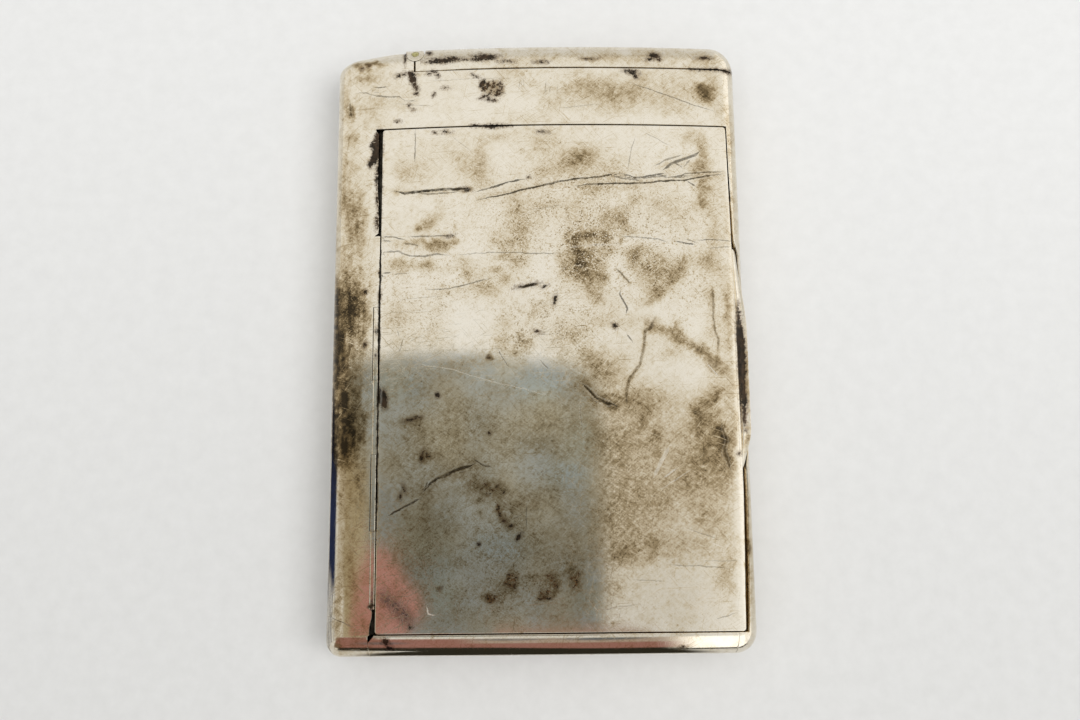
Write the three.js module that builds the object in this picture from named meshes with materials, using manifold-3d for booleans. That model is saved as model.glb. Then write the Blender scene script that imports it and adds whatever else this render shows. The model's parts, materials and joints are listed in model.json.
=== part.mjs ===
// Combined cigarette and match case: a flat pocket case of sheet metal with a crowned front,
// a large front lid on a barrel hinge along its left edge, and a cap over the top end that
// swings on a pin running from front to back. The case lies on its back: +Z is out of the
// front face, +Y is towards the capped end, +X is towards the thumb lift. Millimetres.
import * as THREE from 'three';
import { mergeVertices } from 'three/addons/utils/BufferGeometryUtils.js';
import Module from 'manifold-3d';

const wasm = await Module();
wasm.setup();

// ---------------------------------------------------------------- driving dimensions
const LENGTH = 90;            // along Y
const WIDTH = 60;             // along X, without the thumb lift
const THICK = 13;             // back face to the crown of the front face
const CROWN = 1.54;           // fall of the front face from its crown to 27 mm either side
const CROWN_HALF = 27;
const EDGE_R = 3;             // rounding of all long and short edges
const CORNER_TOP = 4;         // corner radius in plan, at the capped end
const CORNER_BOTTOM = 2.2;    // corner radius in plan, at the other end
const WALL = 0.7;             // sheet thickness
const BODY_X = -0.2;          // body centre in X, so that body and thumb lift together are centred
const SPLIT_Z = 6;            // solder line between the front and back shells
const SPLIT_GAP = 0.02;

const LID_X0 = -23.0, LID_X1 = 28.03;     // front lid, left and right edges
const LID_Y0 = -42.0, LID_Y1 = 31.35;     // front lid, bottom and top edges
const GAP_TOP = 0.24, GAP_BOTTOM = 0.14, GAP_RIGHT = 0.42;
const GROOVE_X0 = -24.0;                  // edge of the left strip beside the hinge groove

const HINGE_X = -23.52, HINGE_Z = 11.45;  // front lid hinge axis, along Y
const BARREL_R = 0.42, BARREL_BORE_R = 0.22, HINGE_PIN_R = 0.18;
const BARREL_Y0 = -38.6, BARREL_Y1 = 15.0;
const KNUCKLES = 5, KNUCKLE_GAP = 0.12;
const SEAT_STRIP_X0 = -26.0, SEAT_STRIP_X1 = -21.5, SEAT_STRIP_Z0 = 10.4, SEAT_STRIP_Z1 = 10.83;

const THUMB_Y0 = -20.4, THUMB_Y1 = 14.2;  // thumb lift along the right edge
const THUMB_PEAK_Y0 = -13.5, THUMB_PEAK_Y1 = 0.5;
const THUMB_SHEET = 0.55;
const NOTCH_CLEAR = 0.28;                 // clearance of the finger notch under the thumb lift

const CAP_SEAM_Y = 40.6, CAP_GAP = 0.16;  // end cap seam
const PIN_X = -18.3, PIN_Y = 43.62;       // end cap hinge axis, along Z
const PIN_R = 0.56, EYE_BORE_R = 0.62, EYE_R = 1.25, EYE_CLEAR = 0.11;
const EYE_ROOT = 1.52;                    // reach of the fixed eyes to the left of the pin
const CAP_RELIEF = 1.46;                  // corner of the cap cut away beside the eyes, so that it swings clear
const EYE_Z = [3.4, 9.2], EYE_GAP = 0.12; // where the moving eye sits between the two fixed eyes
const COLLAR_Y0 = 36.4, COLLAR_Y1 = 42.35, COLLAR_X0 = -16.4;
const COLLAR_IN0 = 0.86, COLLAR_IN1 = 1.3;

const PARTITION_Y0 = 33.0, PARTITION_Y1 = 33.7;
const RIM_IN0 = 0.82, RIM_IN1 = 1.36;     // depth of the lid seat below the outer surface
const RIM_TOP = [30.15, 32.85], RIM_BOTTOM = [-43.5, -40.85], RIM_RIGHT = [26.2, 29.2], RIM_X0 = -21.3;
const FRAME_X = [-21.0, 25.9], FRAME_Y = [-40.55, 29.85], FRAME_SHEET = 0.5;
const FRAME_IN0 = 0.8, FRAME_IN1 = 2.6;
const TAB_Y = [-8, 1], TAB_X1 = 25.33, TAB_SHEET = 0.5, TAB_Z = [7.2, 10.1];
const SPRING_Y = [-15, 8], SPRING_Z = [7.15, 8.15], SPRING_SHEET = 0.3, SPRING_APEX_X = 25.75;

const END_X0 = -24.0, END_X1 = 27.2;      // bottom end plate between its two solder joints
const END_GAP = 0.05;
const RIB_X = [-16.5, 16.5], RIB_Z = [4.4, 8.0], RIB_PITCH = 1.1, RIB_DEPTH = 0.32;

// ---------------------------------------------------------------- helpers
const solid = (geometry) => {
  let g = geometry.index ? geometry.toNonIndexed() : geometry.clone();
  for (const name of Object.keys(g.attributes)) if (name !== 'position') g.deleteAttribute(name);
  g = mergeVertices(g, 1e-5);
  return new wasm.Manifold(new wasm.Mesh({
    numProp: 3,
    vertProperties: new Float32Array(g.attributes.position.array),
    triVerts: new Uint32Array(g.index.array),
  }));
};

const box = (x0, x1, y0, y1, z0, z1) => {
  const g = new THREE.BoxGeometry(x1 - x0, y1 - y0, z1 - z0);
  g.translate((x0 + x1) / 2, (y0 + y1) / 2, (z0 + z1) / 2);
  return solid(g);
};

// Cylinder along Z through (x, y).
const postZ = (x, y, r, z0, z1, sides = 24) => {
  const g = new THREE.CylinderGeometry(r, r, z1 - z0, sides);
  g.rotateX(Math.PI / 2);
  g.translate(x, y, (z0 + z1) / 2);
  return solid(g);
};

// Cylinder along Y through (x, z).
const rodY = (x, z, r, y0, y1, sides = 14) => {
  const g = new THREE.CylinderGeometry(r, r, y1 - y0, sides);
  g.translate(x, (y0 + y1) / 2, z);
  return solid(g);
};

// Plan polygon raised from z0 to z1.
const prism = (points, z0, z1) => {
  const shape = new THREE.Shape(points.map(([x, y]) => new THREE.Vector2(x, y)));
  const g = new THREE.ExtrudeGeometry(shape, { depth: z1 - z0, bevelEnabled: false, steps: 1 });
  g.translate(0, 0, z0);
  return solid(g);
};

// Side outline in Y and Z, carried from x0 to x1.
const prismX = (points, x0, x1) => {
  const shape = new THREE.Shape(points.map(([y, z]) => new THREE.Vector2(y, z)));
  const g = new THREE.ExtrudeGeometry(shape, { depth: x1 - x0, bevelEnabled: false, steps: 1 });
  g.applyMatrix4(new THREE.Matrix4().makeBasis(new THREE.Vector3(0, 1, 0), new THREE.Vector3(0, 0, 1), new THREE.Vector3(1, 0, 0)));
  g.translate(x0, 0, 0);
  return solid(g);
};

// Skin over a row of closed rings with equal point counts, closed at both ends. A strip's ring runs out along one
// face and back along the other, and its ends are closed point by point.
const loft = (rings, strip = false) => {
  const n = rings[0].length;
  const pos = [];
  for (const ring of rings) for (const p of ring) pos.push(p.x, p.y, p.z);
  const tri = [];
  for (let i = 0; i + 1 < rings.length; i++) {
    for (let j = 0; j < n; j++) {
      const k = (j + 1) % n;
      const a = i * n + j, b = i * n + k, c = (i + 1) * n + k, d = (i + 1) * n + j;
      tri.push(a, b, c, a, c, d);
    }
  }
  const flat = (ring) => ring.map((p) => new THREE.Vector2(p.x, p.z));
  const first = flat(rings[0]), last = flat(rings[rings.length - 1]);
  const base = (rings.length - 1) * n;
  const faces = (pts) => {
    if (!strip) return THREE.ShapeUtils.triangulateShape(pts, []);
    const list = [];
    for (let j = 0; j + 1 < n / 2; j++) list.push([j, j + 1, n - 2 - j], [j, n - 2 - j, n - 1 - j]);
    return list;
  };
  const cap = (pts, shift, flip) => {
    for (const [a, b, c] of faces(pts)) tri.push(shift + a, shift + (flip ? c : b), shift + (flip ? b : c));
  };
  cap(first, 0, true);
  cap(last, base, false);
  let volume = 0;
  const v = (i) => new THREE.Vector3(pos[3 * i], pos[3 * i + 1], pos[3 * i + 2]);
  for (let i = 0; i < tri.length; i += 3) volume += v(tri[i]).dot(v(tri[i + 1]).cross(v(tri[i + 2])));
  if (volume < 0) for (let i = 0; i < tri.length; i += 3) [tri[i], tri[i + 1]] = [tri[i + 1], tri[i]];
  const g = new THREE.BufferGeometry();
  g.setAttribute('position', new THREE.Float32BufferAttribute(pos, 3));
  g.setIndex(tri);
  return solid(g);
};

// Height of the crowned front face at x.
const crown = (x) => THICK - CROWN * ((x - BODY_X) / CROWN_HALF) ** 2;

// Ring of the case's cross-section at y, a depth w below the outer surface.
const ARC = 6, CROWN_POINTS = 11;
const caseRing = (y, w) => {
  const t = Math.max(LENGTH / 2 - w - Math.abs(y), 0);
  const cr = Math.max((y > 0 ? CORNER_TOP : CORNER_BOTTOM) - w, 0.3), er = EDGE_R - w;
  const px = t < cr ? cr - Math.sqrt(cr * cr - (cr - t) ** 2) : 0;
  const pz = t < er ? er - Math.sqrt(er * er - (er - t) ** 2) : 0;
  const a = WIDTH / 2 - w - px;
  const r = Math.max(er - pz, 0.05);
  const top = (x) => THICK - CROWN * (x / CROWN_HALF) ** 2 - w - pz;
  let phi = 0;
  for (let i = 0; i < 6; i++) phi = Math.atan(2 * CROWN * (a - r + r * Math.sin(phi)) / CROWN_HALF ** 2);
  const xt = a - r + r * Math.sin(phi);
  const zt = top(xt) - r * Math.cos(phi);
  const zb = w + pz + r;
  const ring = [];
  const put = (x, z) => ring.push(new THREE.Vector3(BODY_X + x, y, z));
  for (let i = 0; i <= ARC; i++) {            // lower left, from the side to the back
    const q = (i / ARC) * Math.PI / 2;
    put(-(a - r) - r * Math.cos(q), zb - r * Math.sin(q));
  }
  for (let i = 0; i <= ARC; i++) {            // lower right
    const q = (i / ARC) * Math.PI / 2;
    put((a - r) + r * Math.sin(q), zb - r * Math.cos(q));
  }
  for (let i = 0; i <= ARC; i++) {            // upper right, from the side to the front
    const q = Math.PI / 2 + (i / ARC) * (phi - Math.PI / 2);
    put((a - r) + r * Math.sin(q), zt + r * Math.cos(q));
  }
  for (let i = 1; i <= CROWN_POINTS; i++) {   // over the crown
    const x = xt - (i / (CROWN_POINTS + 1)) * 2 * xt;
    put(x, top(x));
  }
  for (let i = 0; i <= ARC; i++) {            // upper left
    const q = phi + (i / ARC) * (Math.PI / 2 - phi);
    put(-(a - r) - r * Math.sin(q), zt + r * Math.cos(q));
  }
  return ring;
};

// The whole case as a solid, a depth w below the outer surface.
const caseSolid = (w) => {
  const half = LENGTH / 2 - w, steps = 7;
  const turn = (corner) => {
    const span = Math.max(corner, EDGE_R) - w, ts = [];
    for (let i = 0; i <= steps; i++) ts.push(span * (1 - Math.cos((i / steps) * Math.PI / 2)));
    return ts;
  };
  const ys = [...turn(CORNER_BOTTOM).map((t) => -half + t), ...turn(CORNER_TOP).map((t) => half - t).reverse()];
  return loft(ys.map((y) => caseRing(y, w)));
};

// A straight length of the case's cross-section.
const caseBar = (w, y0, y1) => loft([y0, y1].map((y) => caseRing(0, w).map((p) => new THREE.Vector3(p.x, y, p.z))));

// Polyline thickened to a closed outline: the line itself and its offset to the right-hand side.
const thicken = (line, t) => {
  const off = line.map(([x, z], i) => {
    const a = line[Math.max(i - 1, 0)], b = line[Math.min(i + 1, line.length - 1)];
    const d = Math.hypot(b[0] - a[0], b[1] - a[1]);
    return [x + (b[1] - a[1]) / d * t, z - (b[0] - a[0]) / d * t];
  });
  return [...line, ...off.reverse()];
};

// ---------------------------------------------------------------- thumb lift section
// section of the thumb lift, an S from the lid's right edge out over the side, and how much of it stands at y
const arcX = BODY_X + WIDTH / 2 - EDGE_R;
const phi0 = Math.atan(2 * CROWN * (WIDTH / 2 - EDGE_R) / CROWN_HALF ** 2);
const arcZ = crown(arcX + EDGE_R * Math.sin(phi0)) - EDGE_R * Math.cos(phi0);
const z0 = arcZ + EDGE_R;
const liftRoot = [LID_X1 + 0.12, arcZ + Math.sqrt(EDGE_R ** 2 - (LID_X1 + 0.12 - arcX) ** 2)];
const liftOuter = [liftRoot, [28.46, z0 - 0.78], [28.7, z0 - 1.28], [28.96, z0 - 1.7], [29.32, z0 - 2.02], [29.75, z0 - 2.14], [30.2, z0 - 2.12]];
const liftInner = [[LID_X1 + 0.12, z0 - 0.95], [28.2, z0 - 1.34], [28.34, z0 - 1.74], [28.6, z0 - 2.14], [29.05, z0 - 2.5], [29.62, z0 - 2.68], [30.2, z0 - 2.66]];
const ease = (u) => { const c = Math.min(Math.max(u, 0), 1); return c * c * (3 - 2 * c); };
const liftAt = (y) => Math.min(ease((y - THUMB_Y0) / (THUMB_PEAK_Y0 - THUMB_Y0)), ease((THUMB_Y1 - y) / (THUMB_Y1 - THUMB_PEAK_Y1)));
const liftShare = (y) => 0.25 + 0.75 * liftAt(y);
const LIFT_END0 = THUMB_Y0 + 0.9, LIFT_END1 = THUMB_Y1 - 1.6;

// ---------------------------------------------------------------- sheet-metal body
const shell = caseSolid(0).subtract(caseSolid(WALL));

const endPlan = (g) => [
  [LID_X0 - 0.1 - g, LID_Y0 - GAP_BOTTOM + g], [END_X1 + g, LID_Y0 - GAP_BOTTOM + g], [END_X1 + g, -LENGTH / 2 - 1],
  [END_X0 - g, -LENGTH / 2 - 1], [END_X0 - g, LID_Y0 - GAP_BOTTOM - 1.0 + g],
];
const endBlock = prism(endPlan(0), -1, THICK + 1);
const endBlockWide = prism(endPlan(END_GAP), -1, THICK + 1);

const capBlock = box(PIN_X + CAP_GAP / 2, 40, CAP_SEAM_Y + CAP_GAP / 2, 60, -1, 20)
  .subtract(box(PIN_X - 1, PIN_X + CAP_RELIEF, PIN_Y - CAP_GAP / 2, 61, -2, 21));
const capBlockWide = box(PIN_X - CAP_GAP / 2, 40, CAP_SEAM_Y - CAP_GAP / 2, 60, -1, 20)
  .add(box(PIN_X - EYE_ROOT - CAP_GAP / 2, PIN_X, PIN_Y, 60, -1, 20));
const eyeHole = postZ(PIN_X, PIN_Y, EYE_R + EYE_CLEAR, -1, 20, 24);

const lidHole = box(GROOVE_X0, LID_X1 + GAP_RIGHT, LID_Y0 - GAP_BOTTOM, LID_Y1 + GAP_TOP, SPLIT_Z + 1, 20);

// finger notch in the right wall, a scallop that clears the thumb lift by an even margin
const notchFloor = (y) => liftRoot[1] - liftShare(y) * (liftRoot[1] - (z0 - 2.68)) - NOTCH_CLEAR;
const notchLine = [[LIFT_END0 - NOTCH_CLEAR, 20], [LIFT_END0 - NOTCH_CLEAR, notchFloor(LIFT_END0)]];
for (let i = 1; i < 8; i++) { const y = LIFT_END0 + (i / 8) * (THUMB_PEAK_Y0 - LIFT_END0); notchLine.push([y, notchFloor(y)]); }
notchLine.push([THUMB_PEAK_Y0, notchFloor(THUMB_PEAK_Y0)], [THUMB_PEAK_Y1, notchFloor(THUMB_PEAK_Y1)]);
for (let i = 1; i < 8; i++) { const y = THUMB_PEAK_Y1 + (i / 8) * (LIFT_END1 - THUMB_PEAK_Y1); notchLine.push([y, notchFloor(y)]); }
notchLine.push([LIFT_END1 + NOTCH_CLEAR, notchFloor(LIFT_END1)], [LIFT_END1 + NOTCH_CLEAR, 20]);
const fingerNotch = prismX(notchLine, 26, 40);

const bodyShell = shell.subtract(endBlockWide).subtract(capBlockWide).subtract(eyeHole);
const backShell = bodyShell.intersect(box(-50, 50, -60, 60, -1, SPLIT_Z - SPLIT_GAP));
const frontShell = bodyShell.intersect(box(-50, 50, -60, 60, SPLIT_Z + SPLIT_GAP, 20))
  .subtract(lidHole).subtract(fingerNotch);

// bottom end plate with a row of V ribs to strike a match on
const ribRow = [];
for (let x = RIB_X[0]; x < RIB_X[1] - 0.01; x += RIB_PITCH) {
  ribRow.push([x, -LENGTH / 2 - 0.02], [x + RIB_PITCH / 2, -LENGTH / 2 + RIB_DEPTH]);
}
ribRow.push([RIB_X[1], -LENGTH / 2 - 0.02], [RIB_X[1], -LENGTH / 2 - 1], [RIB_X[0], -LENGTH / 2 - 1]);
const bottomEnd = shell.intersect(endBlock).subtract(prism(ribRow, RIB_Z[0], RIB_Z[1]));

// ---------------------------------------------------------------- inside the body
const partition = caseBar(WALL + 0.1, PARTITION_Y0, PARTITION_Y1);

const rimSkin = caseSolid(RIM_IN0).subtract(caseSolid(RIM_IN1)).intersect(box(-50, 50, -60, 60, SPLIT_Z + 1.6, 20));
const rimPlan = box(RIM_X0, RIM_RIGHT[1], RIM_BOTTOM[0], RIM_TOP[1], 0, 20)
  .subtract(box(-60, RIM_RIGHT[0], RIM_BOTTOM[1], RIM_TOP[0], -1, 21));
const seatRim = rimSkin.intersect(rimPlan).subtract(box(26.9, 60, THUMB_Y0 - 1, THUMB_Y1 + 1, 0, 20));

const hingeStrip = box(SEAT_STRIP_X0, SEAT_STRIP_X1, LID_Y0, LID_Y1 + 0.9, SEAT_STRIP_Z0, SEAT_STRIP_Z1);

const collar = caseSolid(COLLAR_IN0).subtract(caseSolid(COLLAR_IN1))
  .intersect(box(COLLAR_X0, 60, COLLAR_Y0, COLLAR_Y1, -1, 20));

// bowed catch spring with two flat feet on the right wall
const wallX = BODY_X + WIDTH / 2 - WALL - 0.06;
const springLine = [];
const mid = (SPRING_Y[0] + SPRING_Y[1]) / 2, halfSpan = (SPRING_Y[1] - SPRING_Y[0]) / 2;
springLine.push([wallX, SPRING_Y[1] + 3]);
for (let i = 0; i <= 12; i++) {
  const u = 1 - (i / 12) * 2;
  springLine.push([wallX - (wallX - SPRING_SHEET - SPRING_APEX_X) * 0.5 * (1 + Math.cos(Math.PI * u)), mid + u * halfSpan]);
}
springLine.push([wallX, SPRING_Y[0] - 3]);
const catchSpring = prism(thicken(springLine, SPRING_SHEET), SPRING_Z[0], SPRING_Z[1]);

// leaf spring of the end cap: a foot along the partition, then up to the moving eye
const leafLine = [[-28.2, PARTITION_Y1 + 0.1], [-24.4, PARTITION_Y1 + 0.1], [-23.4, PARTITION_Y1 + 0.5], [-22.5, 36.0], [-21.2, 39.4],
  [-20.2, 41.6], [-19.75, 42.2]];
const leafSpring = prism(thicken(leafLine, -0.3), 4.0, 8.7);

// ---------------------------------------------------------------- front lid
const lidPanel = shell.intersect(box(LID_X0, LID_X1, LID_Y0, LID_Y1, SPLIT_Z + 1, 20));

// thumb lift, soldered to the lid's right edge and fading out at both ends
const liftRings = [];
const liftYs = [];
for (let i = 0; i <= 6; i++) liftYs.push(LIFT_END0 + (i / 6) * (THUMB_PEAK_Y0 - LIFT_END0));
for (let i = 0; i <= 7; i++) liftYs.push(THUMB_PEAK_Y1 + (i / 7) * (LIFT_END1 - THUMB_PEAK_Y1));
for (const y of liftYs) {
  const b = liftShare(y);
  const scaled = ([x, z]) => new THREE.Vector3(liftRoot[0] + b * (x - liftRoot[0]), y, liftRoot[1] + b * (z - liftRoot[1]));
  liftRings.push([...liftOuter.map(scaled), ...liftInner.map(scaled).reverse()]);
}
const thumbLift = loft(liftRings, true);

const frameRing = box(FRAME_X[0], FRAME_X[1], FRAME_Y[0], FRAME_Y[1], 0, 20)
  .subtract(box(FRAME_X[0] + FRAME_SHEET, FRAME_X[1] - FRAME_SHEET, FRAME_Y[0] + FRAME_SHEET, FRAME_Y[1] - FRAME_SHEET, -1, 21));
const lidFrame = caseSolid(FRAME_IN0).subtract(caseSolid(FRAME_IN1)).intersect(frameRing)
  .intersect(box(-50, 50, -60, 60, SPLIT_Z + 1, 20));
const lidTab = box(TAB_X1 - TAB_SHEET, TAB_X1, TAB_Y[0], TAB_Y[1], TAB_Z[0], TAB_Z[1]);

// hinge barrel: alternate tubes on the body and on the lid, one wire through all of them
const knuckle = (i) => {
  const span = (BARREL_Y1 - BARREL_Y0) / KNUCKLES;
  const y0 = BARREL_Y0 + i * span + KNUCKLE_GAP / 2, y1 = BARREL_Y0 + (i + 1) * span - KNUCKLE_GAP / 2;
  return rodY(HINGE_X, HINGE_Z, BARREL_R, y0, y1, 14).subtract(rodY(HINGE_X, HINGE_Z, BARREL_BORE_R, y0 - 1, y1 + 1, 14));
};
const hingePin = rodY(HINGE_X, HINGE_Z, HINGE_PIN_R, BARREL_Y0 - 0.1, BARREL_Y1 + 0.1, 14);

// ---------------------------------------------------------------- end cap and its hinge
const endCap = shell.intersect(capBlock).subtract(eyeHole);
const eyeBore = postZ(PIN_X, PIN_Y, EYE_BORE_R, -1, 20, 18);
const fixedEye = (z0e, z1e) => caseSolid(0.03).intersect(postZ(PIN_X, PIN_Y, EYE_R, z0e, z1e, 24)
  .add(box(PIN_X - EYE_ROOT, PIN_X - 0.12, PIN_Y + 0.08, 60, z0e, z1e))).subtract(eyeBore);
const eyeBack = fixedEye(-1, EYE_Z[0]);
const eyeFront = fixedEye(EYE_Z[1], 20);
const lidEyeZ = [EYE_Z[0] + EYE_GAP, EYE_Z[1] - EYE_GAP];
const eyeLid = postZ(PIN_X, PIN_Y, EYE_R, ...lidEyeZ, 24)
  .add(box(PIN_X, PIN_X + 3.2, PIN_Y - 1.0, PIN_Y - 0.15, ...lidEyeZ))
  .add(box(PIN_X + 1.9, PIN_X + 3.2, PIN_Y - 1.0, LENGTH / 2 - WALL - 0.02, ...lidEyeZ)).subtract(eyeBore);
const endPin = caseSolid(0.06).intersect(postZ(PIN_X, PIN_Y, PIN_R, -1, 20, 18));

// ---------------------------------------------------------------- scene graph
const silver = () => new THREE.MeshStandardMaterial({ color: 0xd8d2c0, roughness: 0.22, metalness: 1 });
const gilt = () => new THREE.MeshStandardMaterial({ color: 0xcdbd8f, roughness: 0.3, metalness: 1 });
const steel = () => new THREE.MeshStandardMaterial({ color: 0x8d8d88, roughness: 0.35, metalness: 1 });
const brass = () => new THREE.MeshStandardMaterial({ color: 0xb9a04a, roughness: 0.4, metalness: 1 });

const piece = (name, manifold, material, origin) => {
  const m = manifold.getMesh();
  const g = new THREE.BufferGeometry();
  const p = new Float32Array(m.numVert * 3);
  for (let i = 0; i < m.numVert; i++) for (let k = 0; k < 3; k++) p[3 * i + k] = m.vertProperties[i * m.numProp + k];
  g.setAttribute('position', new THREE.BufferAttribute(p, 3));
  g.setIndex(Array.from(m.triVerts));
  g.computeVertexNormals();
  const mesh = new THREE.Mesh(g, material);
  mesh.name = name;
  if (origin) mesh.position.set(-origin[0], -origin[1], -origin[2]);
  return mesh;
};

const group = new THREE.Group();
const body = new THREE.Group();
body.add(
  piece('back_shell', backShell, silver()),
  piece('front_shell', frontShell, silver()),
  piece('bottom_end_plate', bottomEnd, silver()),
  piece('compartment_partition', partition, gilt()),
  piece('lid_seat_rim', seatRim, gilt()),
  piece('hinge_seat_strip', hingeStrip, silver()),
  piece('body_knuckle_bottom', knuckle(0), silver()),
  piece('body_knuckle_middle', knuckle(2), silver()),
  piece('body_knuckle_top', knuckle(4), silver()),
  piece('lid_hinge_pin', hingePin, steel()),
  piece('catch_spring', catchSpring, steel()),
  piece('match_collar', collar, gilt()),
  piece('end_hinge_lug_front', eyeFront, silver()),
  piece('end_hinge_lug_back', eyeBack, silver()),
  piece('end_hinge_pin', endPin, brass()),
  piece('end_lid_spring', leafSpring, steel()),
);

const lidOrigin = [HINGE_X, 0, HINGE_Z];
const frontLid = new THREE.Group();
frontLid.position.set(...lidOrigin);
frontLid.add(
  piece('lid_panel', lidPanel, silver(), lidOrigin),
  piece('thumb_lift', thumbLift, silver(), lidOrigin),
  piece('lid_inner_frame', lidFrame, gilt(), lidOrigin),
  piece('lid_catch_tab', lidTab, gilt(), lidOrigin),
  piece('lid_knuckle_lower', knuckle(1), silver(), lidOrigin),
  piece('lid_knuckle_upper', knuckle(3), silver(), lidOrigin),
);

const capOrigin = [PIN_X, PIN_Y, 0];
const endLid = new THREE.Group();
endLid.position.set(...capOrigin);
endLid.add(
  piece('end_lid_cap', endCap, silver(), capOrigin),
  piece('end_lid_knuckle', eyeLid, silver(), capOrigin),
);

group.add(body, frontLid, endLid);
export default group;
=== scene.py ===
import json
import math

import bmesh
import bpy
import numpy as np
from mathutils import Euler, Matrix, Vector

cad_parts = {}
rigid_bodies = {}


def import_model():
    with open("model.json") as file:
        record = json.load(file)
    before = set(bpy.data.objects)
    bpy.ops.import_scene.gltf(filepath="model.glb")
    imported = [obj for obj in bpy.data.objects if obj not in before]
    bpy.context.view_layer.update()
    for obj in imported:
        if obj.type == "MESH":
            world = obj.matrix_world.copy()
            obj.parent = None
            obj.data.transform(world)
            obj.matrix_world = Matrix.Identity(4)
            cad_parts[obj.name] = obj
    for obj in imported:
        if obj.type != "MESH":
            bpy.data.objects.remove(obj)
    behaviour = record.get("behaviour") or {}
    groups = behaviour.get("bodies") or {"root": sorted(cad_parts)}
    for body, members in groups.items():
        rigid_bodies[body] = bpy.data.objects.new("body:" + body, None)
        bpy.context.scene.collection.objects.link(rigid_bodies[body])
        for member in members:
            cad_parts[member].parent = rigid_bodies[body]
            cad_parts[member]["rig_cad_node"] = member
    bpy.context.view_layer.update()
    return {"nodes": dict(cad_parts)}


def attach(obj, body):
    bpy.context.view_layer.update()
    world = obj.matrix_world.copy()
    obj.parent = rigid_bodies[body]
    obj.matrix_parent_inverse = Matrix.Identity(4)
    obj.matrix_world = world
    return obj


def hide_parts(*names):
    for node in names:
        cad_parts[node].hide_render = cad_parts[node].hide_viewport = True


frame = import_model()

for o in list(bpy.data.objects):
    if "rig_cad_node" not in o and not o.name.startswith("body:"):
        bpy.data.objects.remove(o)

MM = 0.001
PI = math.pi

# ---------------------------------------------------------------- dimensions of the case, millimetres
LENGTH, WIDTH, THICK = 90.0, 60.0, 13.0
CROWN, CROWN_HALF = 1.54, 27.0
EDGE_R, CORNER_TOP, CORNER_BOTTOM = 3.0, 4.0, 2.2
CORNER_WORN = 3.1                 # the lower right corner
WALL, BODY_X, SPLIT_Z = 0.7, -0.2, 6.0
LID_X0, LID_X1, LID_Y0, LID_Y1 = -23.0, 28.03, -42.0, 31.35
GAP_TOP, GAP_BOTTOM, GAP_RIGHT = 0.24, 0.14, 0.42
GROOVE_X0 = -24.0
HINGE_X, HINGE_Z = -23.52, 11.45
BARREL_R, BARREL_BORE_R = 0.42, 0.22
BARREL_Y0, BARREL_Y1, KNUCKLES, KNUCKLE_GAP = -38.6, 15.0, 5, 0.10
THUMB_Y0, THUMB_Y1, THUMB_PEAK_Y0, THUMB_PEAK_Y1 = -20.4, 14.2, -13.5, 0.5
NOTCH_CLEAR = 0.28
CAP_SEAM_Y, CAP_GAP = 40.6, 0.16
PIN_X, PIN_Y, PIN_R, EYE_R, EYE_HOLE_R = -18.3, 43.62, 0.56, 1.25, 1.36
EYE_ROOT, CAP_RELIEF, EYE_STEP = 1.52, 1.46, 0.08
END_X0, END_X1, END_GAP = -24.0, 27.0, 0.06
RIB_X, RIB_Z, RIB_PITCH, RIB_DEPTH = (-16.5, 16.5), (4.4, 8.0), 1.1, 0.30

# the view the case is seen in: lens in pixels of a 1080 x 720 frame, place in millimetres, turn in radians
LENS_PX = 1250.0
CAM_POS = np.array([1.5706, -40.2614, 186.9647])
CAM_TURN = (0.205166, 0.010729, -0.009986)


# ---------------------------------------------------------------- the outer surface
# A point of the case is found from c, a distance measured round the cross-section from the middle of the front (or of
# the back), from v, a distance along the length that goes on over the flat end faces, and from w, the depth below the
# outer surface.
PHI0 = 0.0
for _ in range(8):
    PHI0 = math.atan(2 * CROWN * (WIDTH / 2 - EDGE_R + EDGE_R * math.sin(PHI0)) / CROWN_HALF ** 2)
XT0 = WIDTH / 2 - EDGE_R + EDGE_R * math.sin(PHI0)
ZT0 = THICK - CROWN * (XT0 / CROWN_HALF) ** 2 - EDGE_R * math.cos(PHI0)
ARC_F, WALL_F = EDGE_R * (PI / 2 - PHI0), ZT0 - SPLIT_Z
XB0, ARC_B, WALL_B = WIDTH / 2 - EDGE_R, EDGE_R * PI / 2, SPLIT_Z - EDGE_R
CM_F, CM_B = XT0 + ARC_F + WALL_F, XB0 + ARC_B + WALL_B
ROLL_AT = np.linspace(-6, 9, 1501)
ROLL_FALL = np.cumsum(0.45 * np.log1p(np.exp(-np.abs(ROLL_AT) / 0.45))) * 0.01 / EDGE_R
FIXED = 25.0                      # columns within this distance of the middle keep their x at every v
END_F = 2.6                       # length in v given to half of an end face


def section(v, w, c):
    va = np.abs(v)
    half = LENGTH / 2 - w
    y = np.where(va <= 40, va, 40 + (np.minimum(va, 45.0) - 40) * (half - 40) / 5)
    t = np.maximum(half - y, 0)
    cr = np.maximum(np.where(v > 0, CORNER_TOP, np.where(c > 0, CORNER_WORN, CORNER_BOTTOM)) - w, 0.3)
    er = np.maximum(EDGE_R - w, 0.3)
    px = np.where(t < cr, cr - np.sqrt(np.maximum(cr * cr - (cr - t) ** 2, 0)), 0)
    pz = np.where(t < er, er - np.sqrt(np.maximum(er * er - (er - t) ** 2, 0)), 0)
    a = WIDTH / 2 - w - px
    r = np.maximum(er - pz, 0.002)
    phi = np.zeros_like(a)
    for _ in range(6):
        phi = np.arctan(2 * CROWN * (a - r + r * np.sin(phi)) / CROWN_HALF ** 2)
    xt = a - r + r * np.sin(phi)
    zt = THICK - CROWN * (xt / CROWN_HALF) ** 2 - w - pz - r * np.cos(phi)
    f = np.clip((va - 45) / END_F, 0, 1)
    return np.sign(v) * y, a, r, phi, xt, zt, pz, f


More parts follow.
